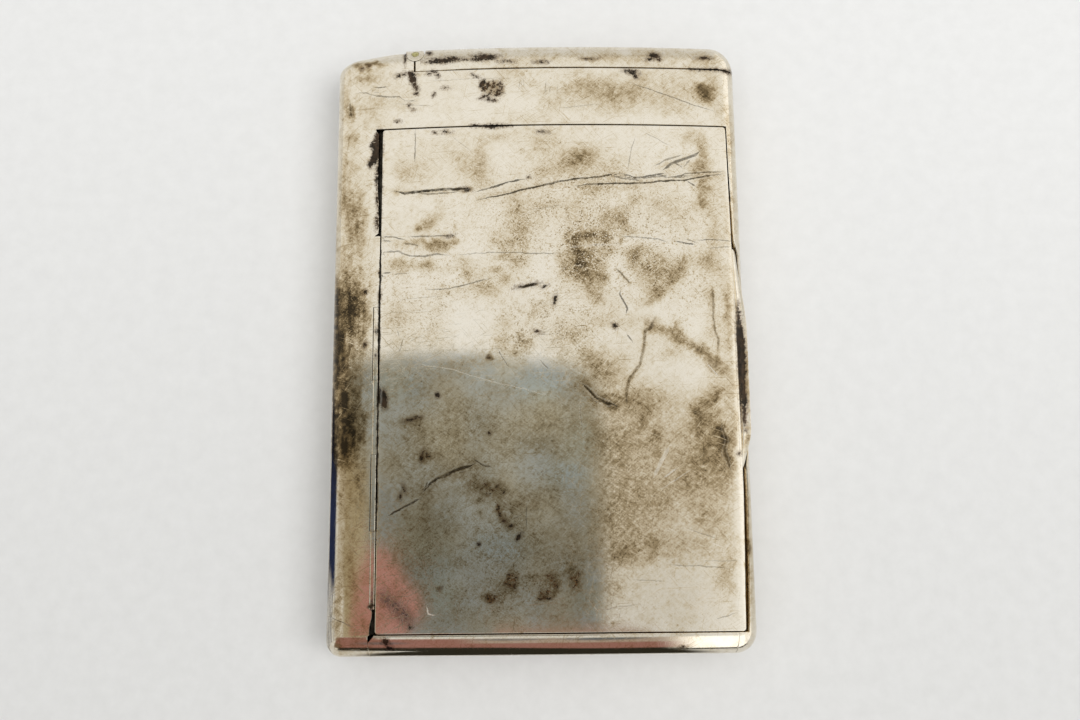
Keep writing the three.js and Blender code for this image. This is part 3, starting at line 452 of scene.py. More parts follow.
# Dark spots with an edge: middle, half sizes, turn in degrees.
SPOTS = [
    (383.0, 399, 4.6, 9.6, -8), (371, 606.5, 3.0, 2.6, 0), (438, 395, 2.8, 2.6, 0), (489, 433, 2.0, 1.6, 0), (422, 457, 1.6, 4.4, 8), (404, 489, 1.3, 3.2, -15), (399.5, 497, 1.2, 2.2, 10),
    (410, 420, 5.0, 1.6, -12), (418, 417, 3.0, 1.2, 0), (555, 299.5, 1.7, 4.2, 12), (528.5, 177, 1.2, 1.2, 0), (615, 325, 2.8, 2.2, 30), (538, 331.5, 2.4, 1.0, 15),
    (466, 189, 4.2, 1.6, 0), (450, 235.6, 2.6, 0.9, -8), (446, 131.6, 3.0, 1.1, 0), (435.5, 132.8, 1.4, 0.9, 0), (543, 132, 3.4, 1.0, 0), (398, 121.4, 1.6, 0.9, 0),
    (527, 285.4, 8.6, 1.5, -12), (544.5, 285.8, 2.0, 0.7, -15),
    (410, 627.5, 2.2, 1.6, 0), (478, 544, 2.2, 2.2, 0), (498.6, 509, 1.4, 3.6, 0), (500, 515, 1.3, 2.5, 20), (504, 521, 2.2, 1.7, 20), (510.6, 526, 2.2, 1.3, 0), (485, 485, 1.7, 1.3, 0), (492, 489.6, 2, 1.3, 20), (481, 489.4, 1.3, 1.3, 0), (497, 486.8, 1.3, 1.1, 0), (503, 492.6, 1.5, 1.1, 0), (488, 494.6, 1.3, 1.1, 0), (427, 456, 2.2, 1.6, 40), (424, 452, 1.2, 1.2, 0), (519, 537, 2.1, 3.9, 30), (509, 577, 2.2, 3.1, 0), (512.6, 580.4, 2.9, 2.1, 0), (510, 585.6, 3.2, 2, 10), (514, 586.4, 1.7, 2.2, 0), (507, 582, 1.4, 2, 0), (515.6, 577.6, 1.3, 1.7, 0), (512, 574.4, 1.4, 1.1, 0),
    (489.6, 598, 2.2, 2, 0), (493, 600, 2.9, 1.7, 15), (491, 602.2, 1.8, 1.1, 0), (487, 595.4, 1.3, 1.1, 0), (495.4, 597.2, 1.4, 1.1, 0), (542, 593, 1.7, 2.4, 0), (545, 597, 2.1, 1.4, 0), (548, 592.4, 1.4, 2, 0), (540.4, 598.2, 1.3, 1.1, 0), (550, 575.4, 2, 1.4, 0), (553, 579, 1.4, 2, 0), (556, 586, 1.5, 2.4, 0), (549.6, 598, 1.7, 1.4, 0), (574.6, 578, 1.4, 2, 0), (576.4, 583, 1.8, 2.5, 0), (573, 587, 1.3, 1.4, 0), (578.4, 575, 1.1, 1.4, 0),
    (571, 579, 1.7, 1.7, 0), (440.5, 588, 1.8, 0.9, -40), (488.5, 357.3, 1.6, 1.5, 0), 
    
    (739.7, 453.8, 1.4, 1.4, 0),
    # top border
    (411.5, 74.5, 4.6, 2.6, 10), (412.8, 80.0, 3.2, 4.6, -25), (415.6, 85.5, 1.8, 2.6, -20), (416.2, 88.6, 2.2, 1.6, 0), (415.8, 93.6, 1.8, 1.6, 30), (398.5, 75.2, 2.8, 1.7, -30),
    (405, 75.2, 3.0, 1.0, 0), (409.2, 105.3, 1.2, 0.9, -30), (412.6, 109.7, 1.5, 0.8, 15), (482.6, 84, 3.1, 3.9, 20), (486, 88, 3.6, 2.8, -20), (484, 81.6, 1.7, 1.7, 0), (488.4, 84.2, 2.2, 2.5, 0), (492.4, 87, 1.8, 2.5, 20), (493.6, 82.6, 2.2, 1.7, 0), (497.4, 84, 1.7, 1.7, 0), (499.4, 90.4, 3.1, 1.5, 30), (502, 86, 1.3, 3.4, -20), (495.4, 92, 2.2, 1.4, 0), (489.6, 93.4, 1.7, 1.3, 0), (484.4, 96.6, 2.2, 1.5, -10), (488.6, 97.6, 2.5, 1.4, 10),
    (481.5, 98.6, 2, 1.1, 0), (489.5, 100.2, 2.2, 1.1, 0), (494.6, 100.2, 1.7, 1.1, 0), (497.5, 94.2, 3.6, 1.7, -20), (475.5, 75.8, 2.6, 1.0, 25), (433.5, 94.8, 1.5, 1.6, 0),
    (446, 88.2, 2.2, 0.7, 0), (428.6, 73.6, 1.4, 1.0, 0), (434, 72.2, 2.0, 1.1, 0), (437.5, 75.6, 1.4, 1.6, 0), (631, 71.5, 6.4, 2.2, 10), (634.5, 75.2, 2.8, 1.6, 40), (491, 126.0, 14.5, 1.5, 0), (362, 69.2, 0.9, 0.7, 0), (369, 66.4, 1.2, 0.7, -12), (405, 58, 0.9, 3.8, 0), (376.5, 140, 1.9, 4, 0), (377, 182, 1.2, 6, 0),
    (377.5, 200, 1.0, 5, 0), (377, 222, 1.3, 5, 0),
    # left border, beside the open groove
    (378, 150, 5.2, 9.5, 10), (373.5, 146, 3.2, 3.4, 0), (375, 158, 4.0, 7.0, 12), (371, 164, 2.6, 3.6, 0), (379.5, 172, 2.6, 8.0, 0), (379, 136, 2.6, 5.0, 0),
    (380, 190, 1.6, 9.0, 0), (379.2, 213, 1.4, 7.0, 0), 
    
    (366, 292, 1.5, 2.0, 0), (365, 345, 1.4, 2.4, 0),
    # end cap
    (444, 60.6, 16.0, 2.2, -4), (434, 62.0, 6.0, 1.7, 0), (452, 58.2, 6.0, 2.0, 0), (483, 58.0, 12.0, 2.3, -8), (478, 56.0, 6.0, 1.7, 0), (491, 57.6, 5.0, 2.2, 0),
    (466, 59.6, 3.0, 1.3, 0), (654, 55.5, 5.2, 2.6, 0), (650, 59.6, 3.4, 1.4, 0), (658.5, 59.6, 2.0, 1.0, 0), (704.5, 58.2, 5.2, 1.4, 0), (541, 61.6, 4.0, 1.0, 0),
    # dark marks along the hollow of the thumb lift
    (738.8, 320, 1.6, 14, -4), (740.8, 343, 3.9, 24, -4), (742.4, 368, 3.8, 22, -3), (743.4, 392, 3.0, 20, -3), (744.5, 413, 1.9, 13, -1),
    (380.0, 295, 1.1, 2.6, 0), (377.4, 331, 1.0, 2.6, 0), (379, 272, 0.7, 0.9, 0), (376, 355, 0.9, 2.0, 0), (683, 647.5, 3.0, 1.6, 0), (386, 643, 4.6, 3.0, 30), (389.5, 648, 3.6, 2.2, 0),
    (589, 58.5, 4.0, 0.8, 0), (708, 69.9, 12, 0.7, 3), (718, 70.6, 8, 1.1, 6), (727, 71.9, 5.5, 1.5, 18), (429, 53.6, 2.2, 1.8, 0), (506, 61.4, 5.0, 0.9, 0),
]

# Cuts and scratches, and in the first list a painted seam shadow: points of the line, half width in pixels, how dark
# (below 0 for a bright one).
CUTS_AND_SEAM_SHADE_A = [
    ([(395.5, 191.6), (404, 193.2), (418.5, 191.4), (447.6, 189.2), (468.8, 189)], 1.35, 1.0),
    ([(476.7, 191.6), (488.8, 188.4), (505.8, 183), (524, 178.9)], 0.8, 0.9),
    ([(576.7, 186), (590, 183.8), (607, 183.6), (622.7, 183), (637.3, 183.2), (653, 182.4), (662.7, 180.8), (683.3, 180.6), (695.5, 178.2), (713.6, 175.2), (722, 174.5)], 0.85, 0.95),
    ([(662.7, 169.7), (671, 163.6), (682, 159.4), (695.5, 155), (699.7, 151)], 1.3, 0.75),
    ([(415.5, 131.5), (415.2, 146), (414.8, 161)], 0.6, 0.6),
    ([(383.3, 237.3), (393, 237.2), (404, 239.7)], 0.7, 0.7),
    ([(410, 236.7), (436.7, 236), (450, 235.5)], 0.8, 0.6),
    ([(383.3, 251.6), (399, 251.8), (402.7, 254.2), (410, 256), (423.3, 256.2), (437.9, 254.2), (447.6, 255.5)], 0.8, 0.6),
    ([(461, 254.8), (476.7, 253), (503.3, 252.4), (530, 253.4), (560, 253)], 0.5, 0.55),
    ([(383.3, 273), (390, 272.4)], 0.7, 0.7), ([(394.2, 274.8), (407.6, 272.4)], 0.5, 0.5),
    ([(428, 289.4), (448.8, 288.8), (467, 284), (488.8, 278.5)], 0.6, 0.65),
    ([(519, 287.6), (527.6, 285.2), (538, 283.8)], 1.2, 1.0),
    ([(498.5, 351.2), (508, 365.8)], 0.5, 0.6), ([(539.7, 359.7), (548, 369.4)], 0.6, 0.6),
    ([(616.7, 268.8), (630, 283.3)], 0.8, 0.55),
    ([(620.9, 289.4), (619.7, 294.2), (624.5, 302.7), (627.6, 308.8), (626.4, 313.6)], 0.8, 0.8),
    ([(627.6, 334.2), (632.4, 341.5)], 0.7, 0.75),
    ([(654.8, 317.3), (650.6, 328.2), (645, 330.6), (644, 346.4), (640.3, 364.5), (630, 377.9), (626.4, 390), (626.4, 402)], 1.3, 0.40),
    ([(712.4, 288.2), (713.6, 302.7), (713, 317.3), (714.8, 330.6), (718.5, 339), (717.9, 351.2)], 1.0, 0.40),
    ([(582.7, 383.9), (590.6, 391.2), (596, 397.9), (604.5, 402.7), (614.2, 404.5)], 1.25, 1.0),
    ([(423.3, 491), (430, 484), (437.9, 478.5), (455, 471), (474, 464)], 1.35, 1.0),
    ([(389.5, 515.5), (398, 510), (407.6, 505.3), (419.7, 498.8)], 1.15, 1.0),
    ([(526.4, 505.5), (526, 516), (526.4, 528.5)], 0.55, 0.6), ([(513, 518.8), (521.5, 514)], 0.5, 0.5),
    ([(676, 241.2), (687, 243.6), (694.2, 244.2)], 0.7, 0.8), ([(697.9, 240), (714, 239.6), (731.8, 241.2)], 0.6, 0.65),
    ([(670, 565), (700, 566), (728, 568)], 0.6, 0.45), ([(689, 529), (716, 538)], 0.5, 0.4), ([(634, 580), (665, 581)], 0.5, 0.35), ([(716, 619), (736, 613)], 0.6, 0.4),
    ([(580, 405), (580.5, 418), (582.5, 430)], 0.5, 0.5), ([(402.7, 617), (402.7, 627)], 0.5, 0.5),
    # top border
    ([(375.5, 87.5), (387, 87.1)], 0.6, 0.7), ([(359.5, 93), (367, 92.8), (371, 95), (385, 96.2), (399.7, 97), (404, 100)], 0.6, 0.65),
    ([(631, 83), (660, 93), (690, 103.5), (713, 111)], 0.5, 0.6), ([(404.6, 101), (414.4, 100.9)], 0.5, 0.5), ([(350, 103), (350.4, 113), (352, 117)], 0.7, 0.5),
    # painted shade: a dark line along the hinge seam beside the lid's left edge, widening the shadow of the narrow gap
    ([(381.4, 236), (380.4, 262), (379.7, 300), (378.6, 370), (377.3, 440), (376.6, 500), (376.0, 545)], 1.35, 1.0),
    ([(330, 617), (341, 622), (352, 627)], 0.5, 0.6), 
]
CUTS_B = [
    ([(418, 194), (430.6, 193.5), (447.6, 192.8), (459.7, 191.6)], 0.7, 0.6),
    ([(479, 199.4), (494.8, 196.6), (509.4, 193.3), (521.5, 189.7), (539.7, 186), (560, 181.4), (574, 179.4), (598.5, 176.4), (613, 174.5), (622.7, 173.3)], 0.85, 0.95),
    ([(622.7, 173.3), (633.6, 177.6), (649.4, 175.8), (665, 173.3)], 0.75, 0.85), ([(665, 178), (690, 173.4), (722, 171.6)], 0.7, 0.75), ([(655, 165.5), (668, 159), (681, 155.4)], 0.9, 0.5),
    ([(690, 159.5), (684, 166)], 0.7, 0.6), ([(722, 424), (727, 440), (724, 452), (731, 470)], 0.9, 0.5), ([(612, 176), (640, 181)], 0.6, 0.6), ([(640, 178.5), (662, 176.5), (690, 177.5)], 0.6, 0.6), ([(676, 163.6), (681.5, 167.3)], 0.6, 0.7), ([(687, 181.8), (694.8, 186)], 0.6, 0.7),
    ([(383.3, 241), (390.6, 241.5)], 0.6, 0.5), ([(404, 243.3), (418.5, 245.8)], 0.7, 0.5),
    ([(622.7, 236.4), (640, 237.4), (659, 239.4), (667.6, 242.4)], 0.6, 0.6), ([(687, 239.2), (695.5, 242.2)], 0.5, 0.6), ([(707.6, 248.5), (730.6, 246.7)], 0.5, 0.5),
    ([(424.5, 365), (440, 367), (455, 370), (489, 381), (521, 388), (546, 395)], 0.42, -0.42), ([(668.8, 447), (662, 460), (654.2, 476)], 2.0, -0.35), ([(676, 468.8), (664, 477.3)], 0.9, -0.5),
    ([(427, 607.3), (428.2, 614.5), (435.5, 615)], 0.7, -0.9), ([(475, 460), (483, 465), (491, 467)], 0.8, 0.8), ([(427.5, 482.4), (425, 487)], 0.9, 0.9),
    ([(634.8, 138), (631, 152), (628, 167)], 0.5, 0.4), ([(645.8, 133.3), (668.8, 144.8)], 0.45, 0.35), ([(704, 561), (737, 561)], 0.5, 0.4),
    ([(397, 330), (399, 336)], 0.5, 0.35), ([(403, 340), (399, 352)], 0.6, 0.3), ([(568, 248), (590, 245), (606, 244.6), (622.7, 243.3)], 1.0, -0.25),
    ([(718, 376), (708, 364)], 0.6, -0.6), ([(396, 104), (430, 106)], 0.45, 0.3), ([(545.4, 82), (545.4, 93)], 0.45, 0.4), ([(519.4, 81), (519, 88)], 0.45, 0.35), ([(523.6, 80), (523.8, 86)], 0.4, 0.3), ([(549.8, 86), (549.6, 92)], 0.4, 0.35), ([(557.5, 86), (557, 93)], 0.4, 0.35), ([(430, 81), (460, 79), (510, 78)], 0.35, 0.25), ([(452, 137), (470, 150)], 0.4, 0.25), ([(560, 108), (600, 104)], 0.4, 0.3),
    ([(530, 210), (560, 205)], 0.4, 0.25), ([(400, 300), (440, 296)], 0.4, 0.25), ([(660, 490), (690, 470)], 0.5, -0.35), ([(600, 610), (640, 604)], 0.4, 0.25),
]

# Soft brown lines: points, half width in pixels, density.
STREAKS = [
    ([(654.8, 317.3), (650.6, 328.2), (645, 330.6), (644, 346.4), (640.3, 364.5), (630, 377.9), (626.4, 390), (626.4, 402)], 1.8, 0.78),
    ([(712.4, 288.2), (713.6, 302.7), (713, 317.3), (714.8, 330.6), (718.5, 339), (717.9, 351.2)], 1.6, 0.6),
    ([(702, 132), (703, 160), (703.5, 185), (701, 210)], 6.0, 0.16), ([(616.7, 268.8), (630, 283.3)], 1.8, 0.5), ([(582, 382), (596, 399), (614, 406)], 5.0, 0.45),
    ([(700, 350), (714, 362), (722, 372)], 3.0, 0.25), ([(676, 336), (700, 350)], 4.0, 0.2), ([(424, 492), (440, 478), (474, 465)], 4.5, 0.35),
    ([(395, 192), (430, 192.5), (470, 189.5)], 3.0, 0.45), ([(576, 186), (640, 183), (722, 175)], 4.0, 0.30), ([(479, 199), (540, 186), (622, 174)], 3.0, 0.35),
]

# Places rubbed bright, and painted highlights on the lid's right edge and the bottom strip's right end: middle, half
# sizes, turn in degrees, strength.
RUBBED_AND_HIGHLIGHTS = [
    (500, 158, 17, 20, 0, 0.55), (464, 322, 20, 26, 0, 0.9), (541, 345, 9, 18, 10, 0.75), (655, 313, 22, 10, 0, 0.6), (698, 320, 12, 22, 0, 0.6),
    (697, 375, 18, 12, 0, 0.55), (545, 272, 14, 16, 0, 0.5), (520, 300, 12, 12, 0, 0.55), (610, 300, 10, 10, 0, 0.4), (425, 205, 26, 10, 0, 0.45),
    # painted highlights: the bright right edge of the lid low down (742, 600) and the bright right end of the bottom
    # strip (715, 641)
    (450, 118, 60, 8, 0, 0.35), (470, 100, 34, 18, 0, 0.4), (714, 560, 3, 40, 0, 0.2), (742, 600, 6, 40, 0, 0.95), (715, 641, 24, 7, 0, 1.0), (720, 150, 5, 26, 0, 0.4),
    (392, 160, 6, 30, 0, 0.4), (664, 366, 26, 10, 0, 0.35), (640, 120, 60, 4, 0, 0.3), (545, 234, 14, 10, 0, 0.4), (640, 145, 18, 10, 0, 0.35),
    (650, 214, 20, 10, 0, 0.3), (475, 248, 14, 8, 0, 0.45), (447, 276, 12, 10, 0, 0.4), (370, 440, 3, 60, 0, 0.35), (414, 284, 20, 12, 0, 0.5),
    # painted highlights along the lid's right edge (742, 512), (740, 440), (738.5, 300) and along its right seam
    # (727.6, 186)
    (700, 600, 30, 18, 0, 0.20), (742, 512, 5, 58, 0, 0.65), (740, 440, 3.5, 30, 0, 0.5), (424, 312, 38, 24, 0, 0.34), (535, 318, 30, 22, 0, 0.30), (727.6, 186, 2.2, 60, -4.9, 0.8), (738.5, 300, 1.8, 40, -4, 0.6),
]


# Places with fine pits and flecks: middle, half sizes, turn in degrees, strength.
PITTED = [
    (590, 236, 135, 78, 0, 0.95), (430, 296, 74, 48, 0, 0.80), (545, 325, 62, 40, 0, 0.95), (690, 300, 44, 60, 0, 0.55), (470, 205, 70, 36, 0, 0.35), (480, 575, 120, 62, 0, 0.60),
    (352, 320, 18, 60, 0, 0.5), (450, 440, 80, 60, 0, 0.25), (665, 160, 60, 34, 0, 0.35),
]


# Places with rust-coloured grains: middle, half sizes, turn in degrees, strength.
RUST = [
    (470, 481, 14, 8, 20, 0.8), (490, 490, 16, 9, 20, 0.9), (502, 508, 9, 14, 0, 0.9), (511, 580, 8, 9, 0, 1.0), (491, 599, 8, 6, 10, 1.0), (547, 586, 11, 14, 0, 1.0), (576, 581, 7, 9, 0, 0.9),
    (527, 554, 9, 7, 0, 0.5), (540, 471, 9, 7, 0, 0.7), (530, 500, 18, 14, 0, 0.4), (430, 456, 10, 8, 0, 0.5), (547, 492, 10, 8, 0, 0.4), (488, 90, 12, 10, 0, 0.5), (600, 560, 12, 18, 0, 0.3),
]


def turned(u, v, cx, cy, rx, ry, deg):
    a = math.radians(deg)
    p, q = (u - cx) * math.cos(a) + (v - cy) * math.sin(a), -(u - cx) * math.sin(a) + (v - cy) * math.cos(a)
    return np.hypot(p / rx, q / ry)


# The plain back carries its own marks, in the same units measured out from its middle.
BACK_TARNISH = [(470, 250, 60, 80, 20, 0.35), (600, 430, 70, 60, -30, 0.40), (520, 560, 80, 30, 0, 0.40), (640, 180, 40, 50, 0, 0.35), (400, 420, 30, 90, 0, 0.35),
                (560, 320, 24, 18, 30, 0.6), (505, 470, 16, 22, 0, 0.7), (650, 560, 26, 14, 0, 0.6), (430, 130, 30, 16, 0, 0.5), (690, 330, 12, 40, 0, 0.5)]
BACK_SPOTS = [(455, 205, 3, 2, 0), (612, 388, 4, 2.4, 30), (541, 602, 5, 2, 0), (662, 142, 2, 3, 0), (398, 505, 2, 4, 0), (500, 330, 1.6, 1.6, 0), (580, 236, 2.4, 1.6, 20), (689, 520, 2, 3, 0)]
BACK_CUTS_A = [([(380, 160), (470, 230), (560, 280)], 0.6, 0.6), ([(600, 120), (640, 260), (655, 360)], 0.5, 0.55), ([(420, 560), (520, 500), (610, 470)], 0.6, 0.6), ([(560, 600), (690, 560)], 0.5, 0.5)]
BACK_CUTS_B = [([(450, 400), (500, 380), (600, 352)], 0.5, -0.6), ([(400, 300), (420, 380), (425, 470)], 0.5, 0.5), ([(620, 500), (700, 430)], 0.5, -0.6), ([(500, 100), (540, 190)], 0.5, 0.45)]
BACK_RUBBED = [(540, 60, 200, 12, 0, 0.6), (540, 662, 200, 12, 0, 0.6), (345, 360, 12, 280, 0, 0.6), (735, 360, 12, 280, 0, 0.6), (560, 380, 60, 90, 15, 0.4)]


def marks(u, v, tarnish, spots, rubbed_and_highlight, cut_sets, streaks=()):
    """Tarnish density, closeness to a dark spot, share worn bright and painted as highlight, and for each set of cuts,
    with the painted seam shadow among them (distance across, strength, half width).
    """
    wu = u + 7 * (clouds(u / 11, v / 11, 3, 3) - 0.5) + 3 * (clouds(u / 4, v / 4, 5, 2) - 0.5)
    wv = v + 7 * (clouds(u / 11 + 50, v / 11, 4, 3) - 0.5) + 3 * (clouds(u / 4 + 50, v / 4, 6, 2) - 0.5)
    brown = 0.9 * np.maximum(clouds(u / 34 + 9, v / 34 + 2, 21, 5) - 0.53, 0) + 0.4 * np.maximum(clouds(u / 9, v / 9, 23, 4) - 0.58, 0)
    for cx, cy, rx, ry, deg, k in tarnish:
        reach = 2.6 * max(rx, ry) + 8
        near = np.nonzero((np.abs(u - cx) < reach) & (np.abs(v - cy) < reach))[0]
        if len(near):
            rho = turned(wu[near], wv[near], cx, cy, rx, ry, deg)
            brown[near] += k * np.exp(-1.1 * rho ** 2.2)
    for points, half, k in streaks:
        brown = brown + k * np.exp(-(to_line(u, v, points) / half) ** 2)
    brown = brown * (0.44 + 1.12 * clouds(u / 4.2 + 3, v / 4.2 + 8, 31, 4))
    lower_left = ease((u - 378) / 6) * ease((612 - u) / 24) * ease((v - 352) / 24) * ease((630 - v) / 12)
    brown = brown + lower_left * (0.7 * np.maximum(clouds(u / 17, v / 17, 71, 4) - 0.45, 0) + 0.9 * np.maximum(clouds(u / 3.6, v / 3.6, 75, 3) - 0.50, 0))
    brown = brown + 0.9 * np.maximum(clouds(u / 3.4 + 20, v / 3.4, 85, 3) - 0.55, 0) * (0.35 + 1.3 * clouds(u / 26 + 4, v / 26, 87, 2))
    # drawn out along the left border
    brown = brown * (1 + ease((376 - u) / 8) * (1.5 * clouds(u / 3.4, v / 20, 33, 3) - 0.75))
    spot = np.zeros(len(u))
    for cx, cy, rx, ry, deg in spots:
        reach = max(rx, ry) + 8
        near = np.nonzero((np.abs(u - cx) < reach) & (np.abs(v - cy) < reach))[0]
        if len(near):
            rho = turned(u[near] + 0.35 * (wu - u)[near], v[near] + 0.35 * (wv - v)[near], cx, cy, rx, ry, deg)
            spot[near] = np.maximum(spot[near], 6 - (rho - 1) * min(rx, ry))
    light = np.zeros(len(u))
    for cx, cy, rx, ry, deg, k in rubbed_and_highlight:
        light = np.maximum(light, k * np.exp(-1.1 * turned(wu, wv, cx, cy, rx, ry, deg) ** 2.4))
    cuts = []
    for group in cut_sets:
        best, across, strength, width = np.full(len(u), 1e9), np.full(len(u), 4.0), np.zeros(len(u)), np.ones(len(u))
        ju, jv = u + 1.1 * (clouds(u / 7, v / 7, 41, 2) - 0.5), v + 1.5 * (clouds(u / 7 + 30, v / 7, 42, 2) - 0.5)
        for points, half, dark in group:
            lo, hi = np.min(points, 0) - 6, np.max(points, 0) + 6
            near = np.nonzero((u > lo[0]) & (u < hi[0]) & (v > lo[1]) & (v < hi[1]))[0]
            if len(near) == 0:
                continue
            total = sum(math.dist(a, b) for a, b in zip(points, points[1:]))
            run = 0.0
            for (x0, y0), (x1, y1) in zip(points, points[1:]):
                dx, dy = x1 - x0, y1 - y0
                size = math.hypot(dx, dy)
                t = ((ju[near] - x0) * dx + (jv[near] - y0) * dy) / size ** 2
                side = ((ju[near] - x0) * dy - (jv[near] - y0) * dx) / size
                tc = np.clip(t, 0, 1)
                d = np.hypot(ju[near] - x0 - tc * dx, jv[near] - y0 - tc * dy)
                closer = d < best[near]
                i = near[closer]
                best[i] = d[closer]
                across[i] = (np.where(side < 0, -1.0, 1.0) * np.maximum(np.abs(side), np.where((t < 0) | (t > 1), d, 0)))[closer]
                along = (run + tc[closer] * size) / total
                taper = np.clip(np.minimum(along, 1 - along) / 0.12, 0.25, 1)
                strength[i] = dark * (d[closer] < 3.6)
                width[i] = half * taper * (0.7 + 0.7 * clouds(u[i] / 6, v[i] / 6, 51, 2))
                run += size
        cuts.append(np.stack([np.clip(across, -4, 4), strength, width], 1))
    return brown, spot, light, cuts


def wear_attributes(mesh, co, deep):
    """Stores the wear on a mesh. deep marks vertices down in the gaps, where dirt has gathered."""
    u, v = seen_at(co)
    brown, spot, light, cuts = marks(u, v, TARNISH, SPOTS, RUBBED_AND_HIGHLIGHTS, (CUTS_AND_SEAM_SHADE_A, CUTS_B), STREAKS)
    share = ease((co[:, 2] - 6.6) / 3.0)
    ub, vb = 540 + 6.9 * co[:, 0] + 1.5 * co[:, 2], 360 - 6.9 * co[:, 1]
    brown2, spot2, light2, cuts2 = marks(ub, vb, BACK_TARNISH, BACK_SPOTS, BACK_RUBBED, (BACK_CUTS_A, BACK_CUTS_B))
    under = share < 0.5
    brown, spot, light = brown * share + (0.1 + brown2) * (1 - share), np.where(under, spot2, spot), light * share + light2 * (1 - share)
    pitted = np.zeros(len(u))
    for cx, cy, rx, ry, deg, k in PITTED:
        pitted = np.maximum(pitted, k * np.exp(-1.1 * turned(u, v, cx, cy, rx, ry, deg) ** 2.4))
    pitted = pitted * share * (0.55 + 0.9 * clouds(u / 13, v / 13, 95, 3)) + 0.3 * (1 - share)
    rust = np.zeros(len(u))
    for cx, cy, rx, ry, deg, k in RUST:
        rust = np.maximum(rust, k * np.exp(-1.1 * turned(u, v, cx, cy, rx, ry, deg) ** 2.4))
    rust = rust * share
    x, y = co[:, 0], co[:, 1]
    clean = (np.abs(x + 24.0) < 0.5) & (y > BARREL_Y0) & (y < BARREL_Y1) | (np.abs(x - PIN_X) < 0.7) & (y > CAP_SEAM_Y + 0.3) | (x > 0) & (np.abs(y - LID_Y1) < 0.8)
    deep = deep & ~clean
    right = co[:, 0] > 26.5
    brown, spot, light = np.where(deep, np.where(right, 1.2, 2.1), brown), np.where(deep, np.where(right, 2.0, 6.6), spot), np.where(deep, 0, light)
    for label, value in (("tarnish", brown), ("spot", spot), ("rubbed_and_highlight", light), ("pitted", pitted), ("rust", rust)):
        at = mesh.attributes.new(label, "FLOAT", "POINT")
        at.data.foreach_set("value", value.astype(np.float32))
    for label, value, value2 in (("cuts_and_seam_shade_a", cuts[0], cuts2[0]), ("cuts_b", cuts[1], cuts2[1])):
        value = np.where(under[:, None], value2, value)
        value[deep, 1] = 0
        at = mesh.attributes.new(label, "FLOAT_VECTOR", "POINT")
        at.data.foreach_set("vector", value.astype(np.float32).ravel())


# Creases deep enough to bend the sheet: points, half width and depth in millimetres.
CREASES = [
    ([(576, 183), (622, 179), (665, 177.5), (722, 174.5)], 0.50, 0.022), ([(479, 199.4), (521.5, 189.7), (574, 179.4)], 0.28, 0.018),
    ([(395, 191.6), (430, 191.5), (469, 189)], 0.30, 0.024), ([(622, 240), (660, 242), (731, 243)], 0.60, 0.016), ([(383, 239), (450, 237)], 0.50, 0.014),
    ([(383, 252), (410, 256), (447, 255.5)], 0.50, 0.014), ([(568, 248), (622, 243.5)], 0.50, -0.014), ([(662.7, 169.7), (682, 159.4), (699.7, 151)], 0.32, 0.02),
    ([(383, 273), (410, 272)], 0.40, 0.008), ([(428, 289.4), (467, 284), (489, 278.5)], 0.30, 0.008), ([(423.3, 491), (437.9, 478.5), (474, 464)], 0.22, 0.004),
    ([(582.7, 383.9), (596, 397.9), (614.2, 404.5)], 0.25, 0.006), ([(670, 565), (728, 568)], 0.50, 0.008), ([(689, 529), (716, 538)], 0.40, 0.006), ([(359, 93), (404, 100)], 0.40, 0.01),
]


def dents(co):
    """How far the front surface is pushed in by knocks, creases and general unevenness."""
    x, y = co[..., 0], co[..., 1]
    u, v = seen_at(co)
    out = 0.035 * (clouds(x / 13 + 40, y / 13 + 40, 11, 3) - 0.5) + 0.006 * (clouds(x / 2.2 + 40, y / 2.2 + 40, 14, 2) - 0.5)
    for points, half, depth in CREASES:
        d = to_line(u, v, points) / 6.9
        out = out + depth * np.exp(-(d / half) ** 2)
    return np.maximum(out + 0.02, 0)


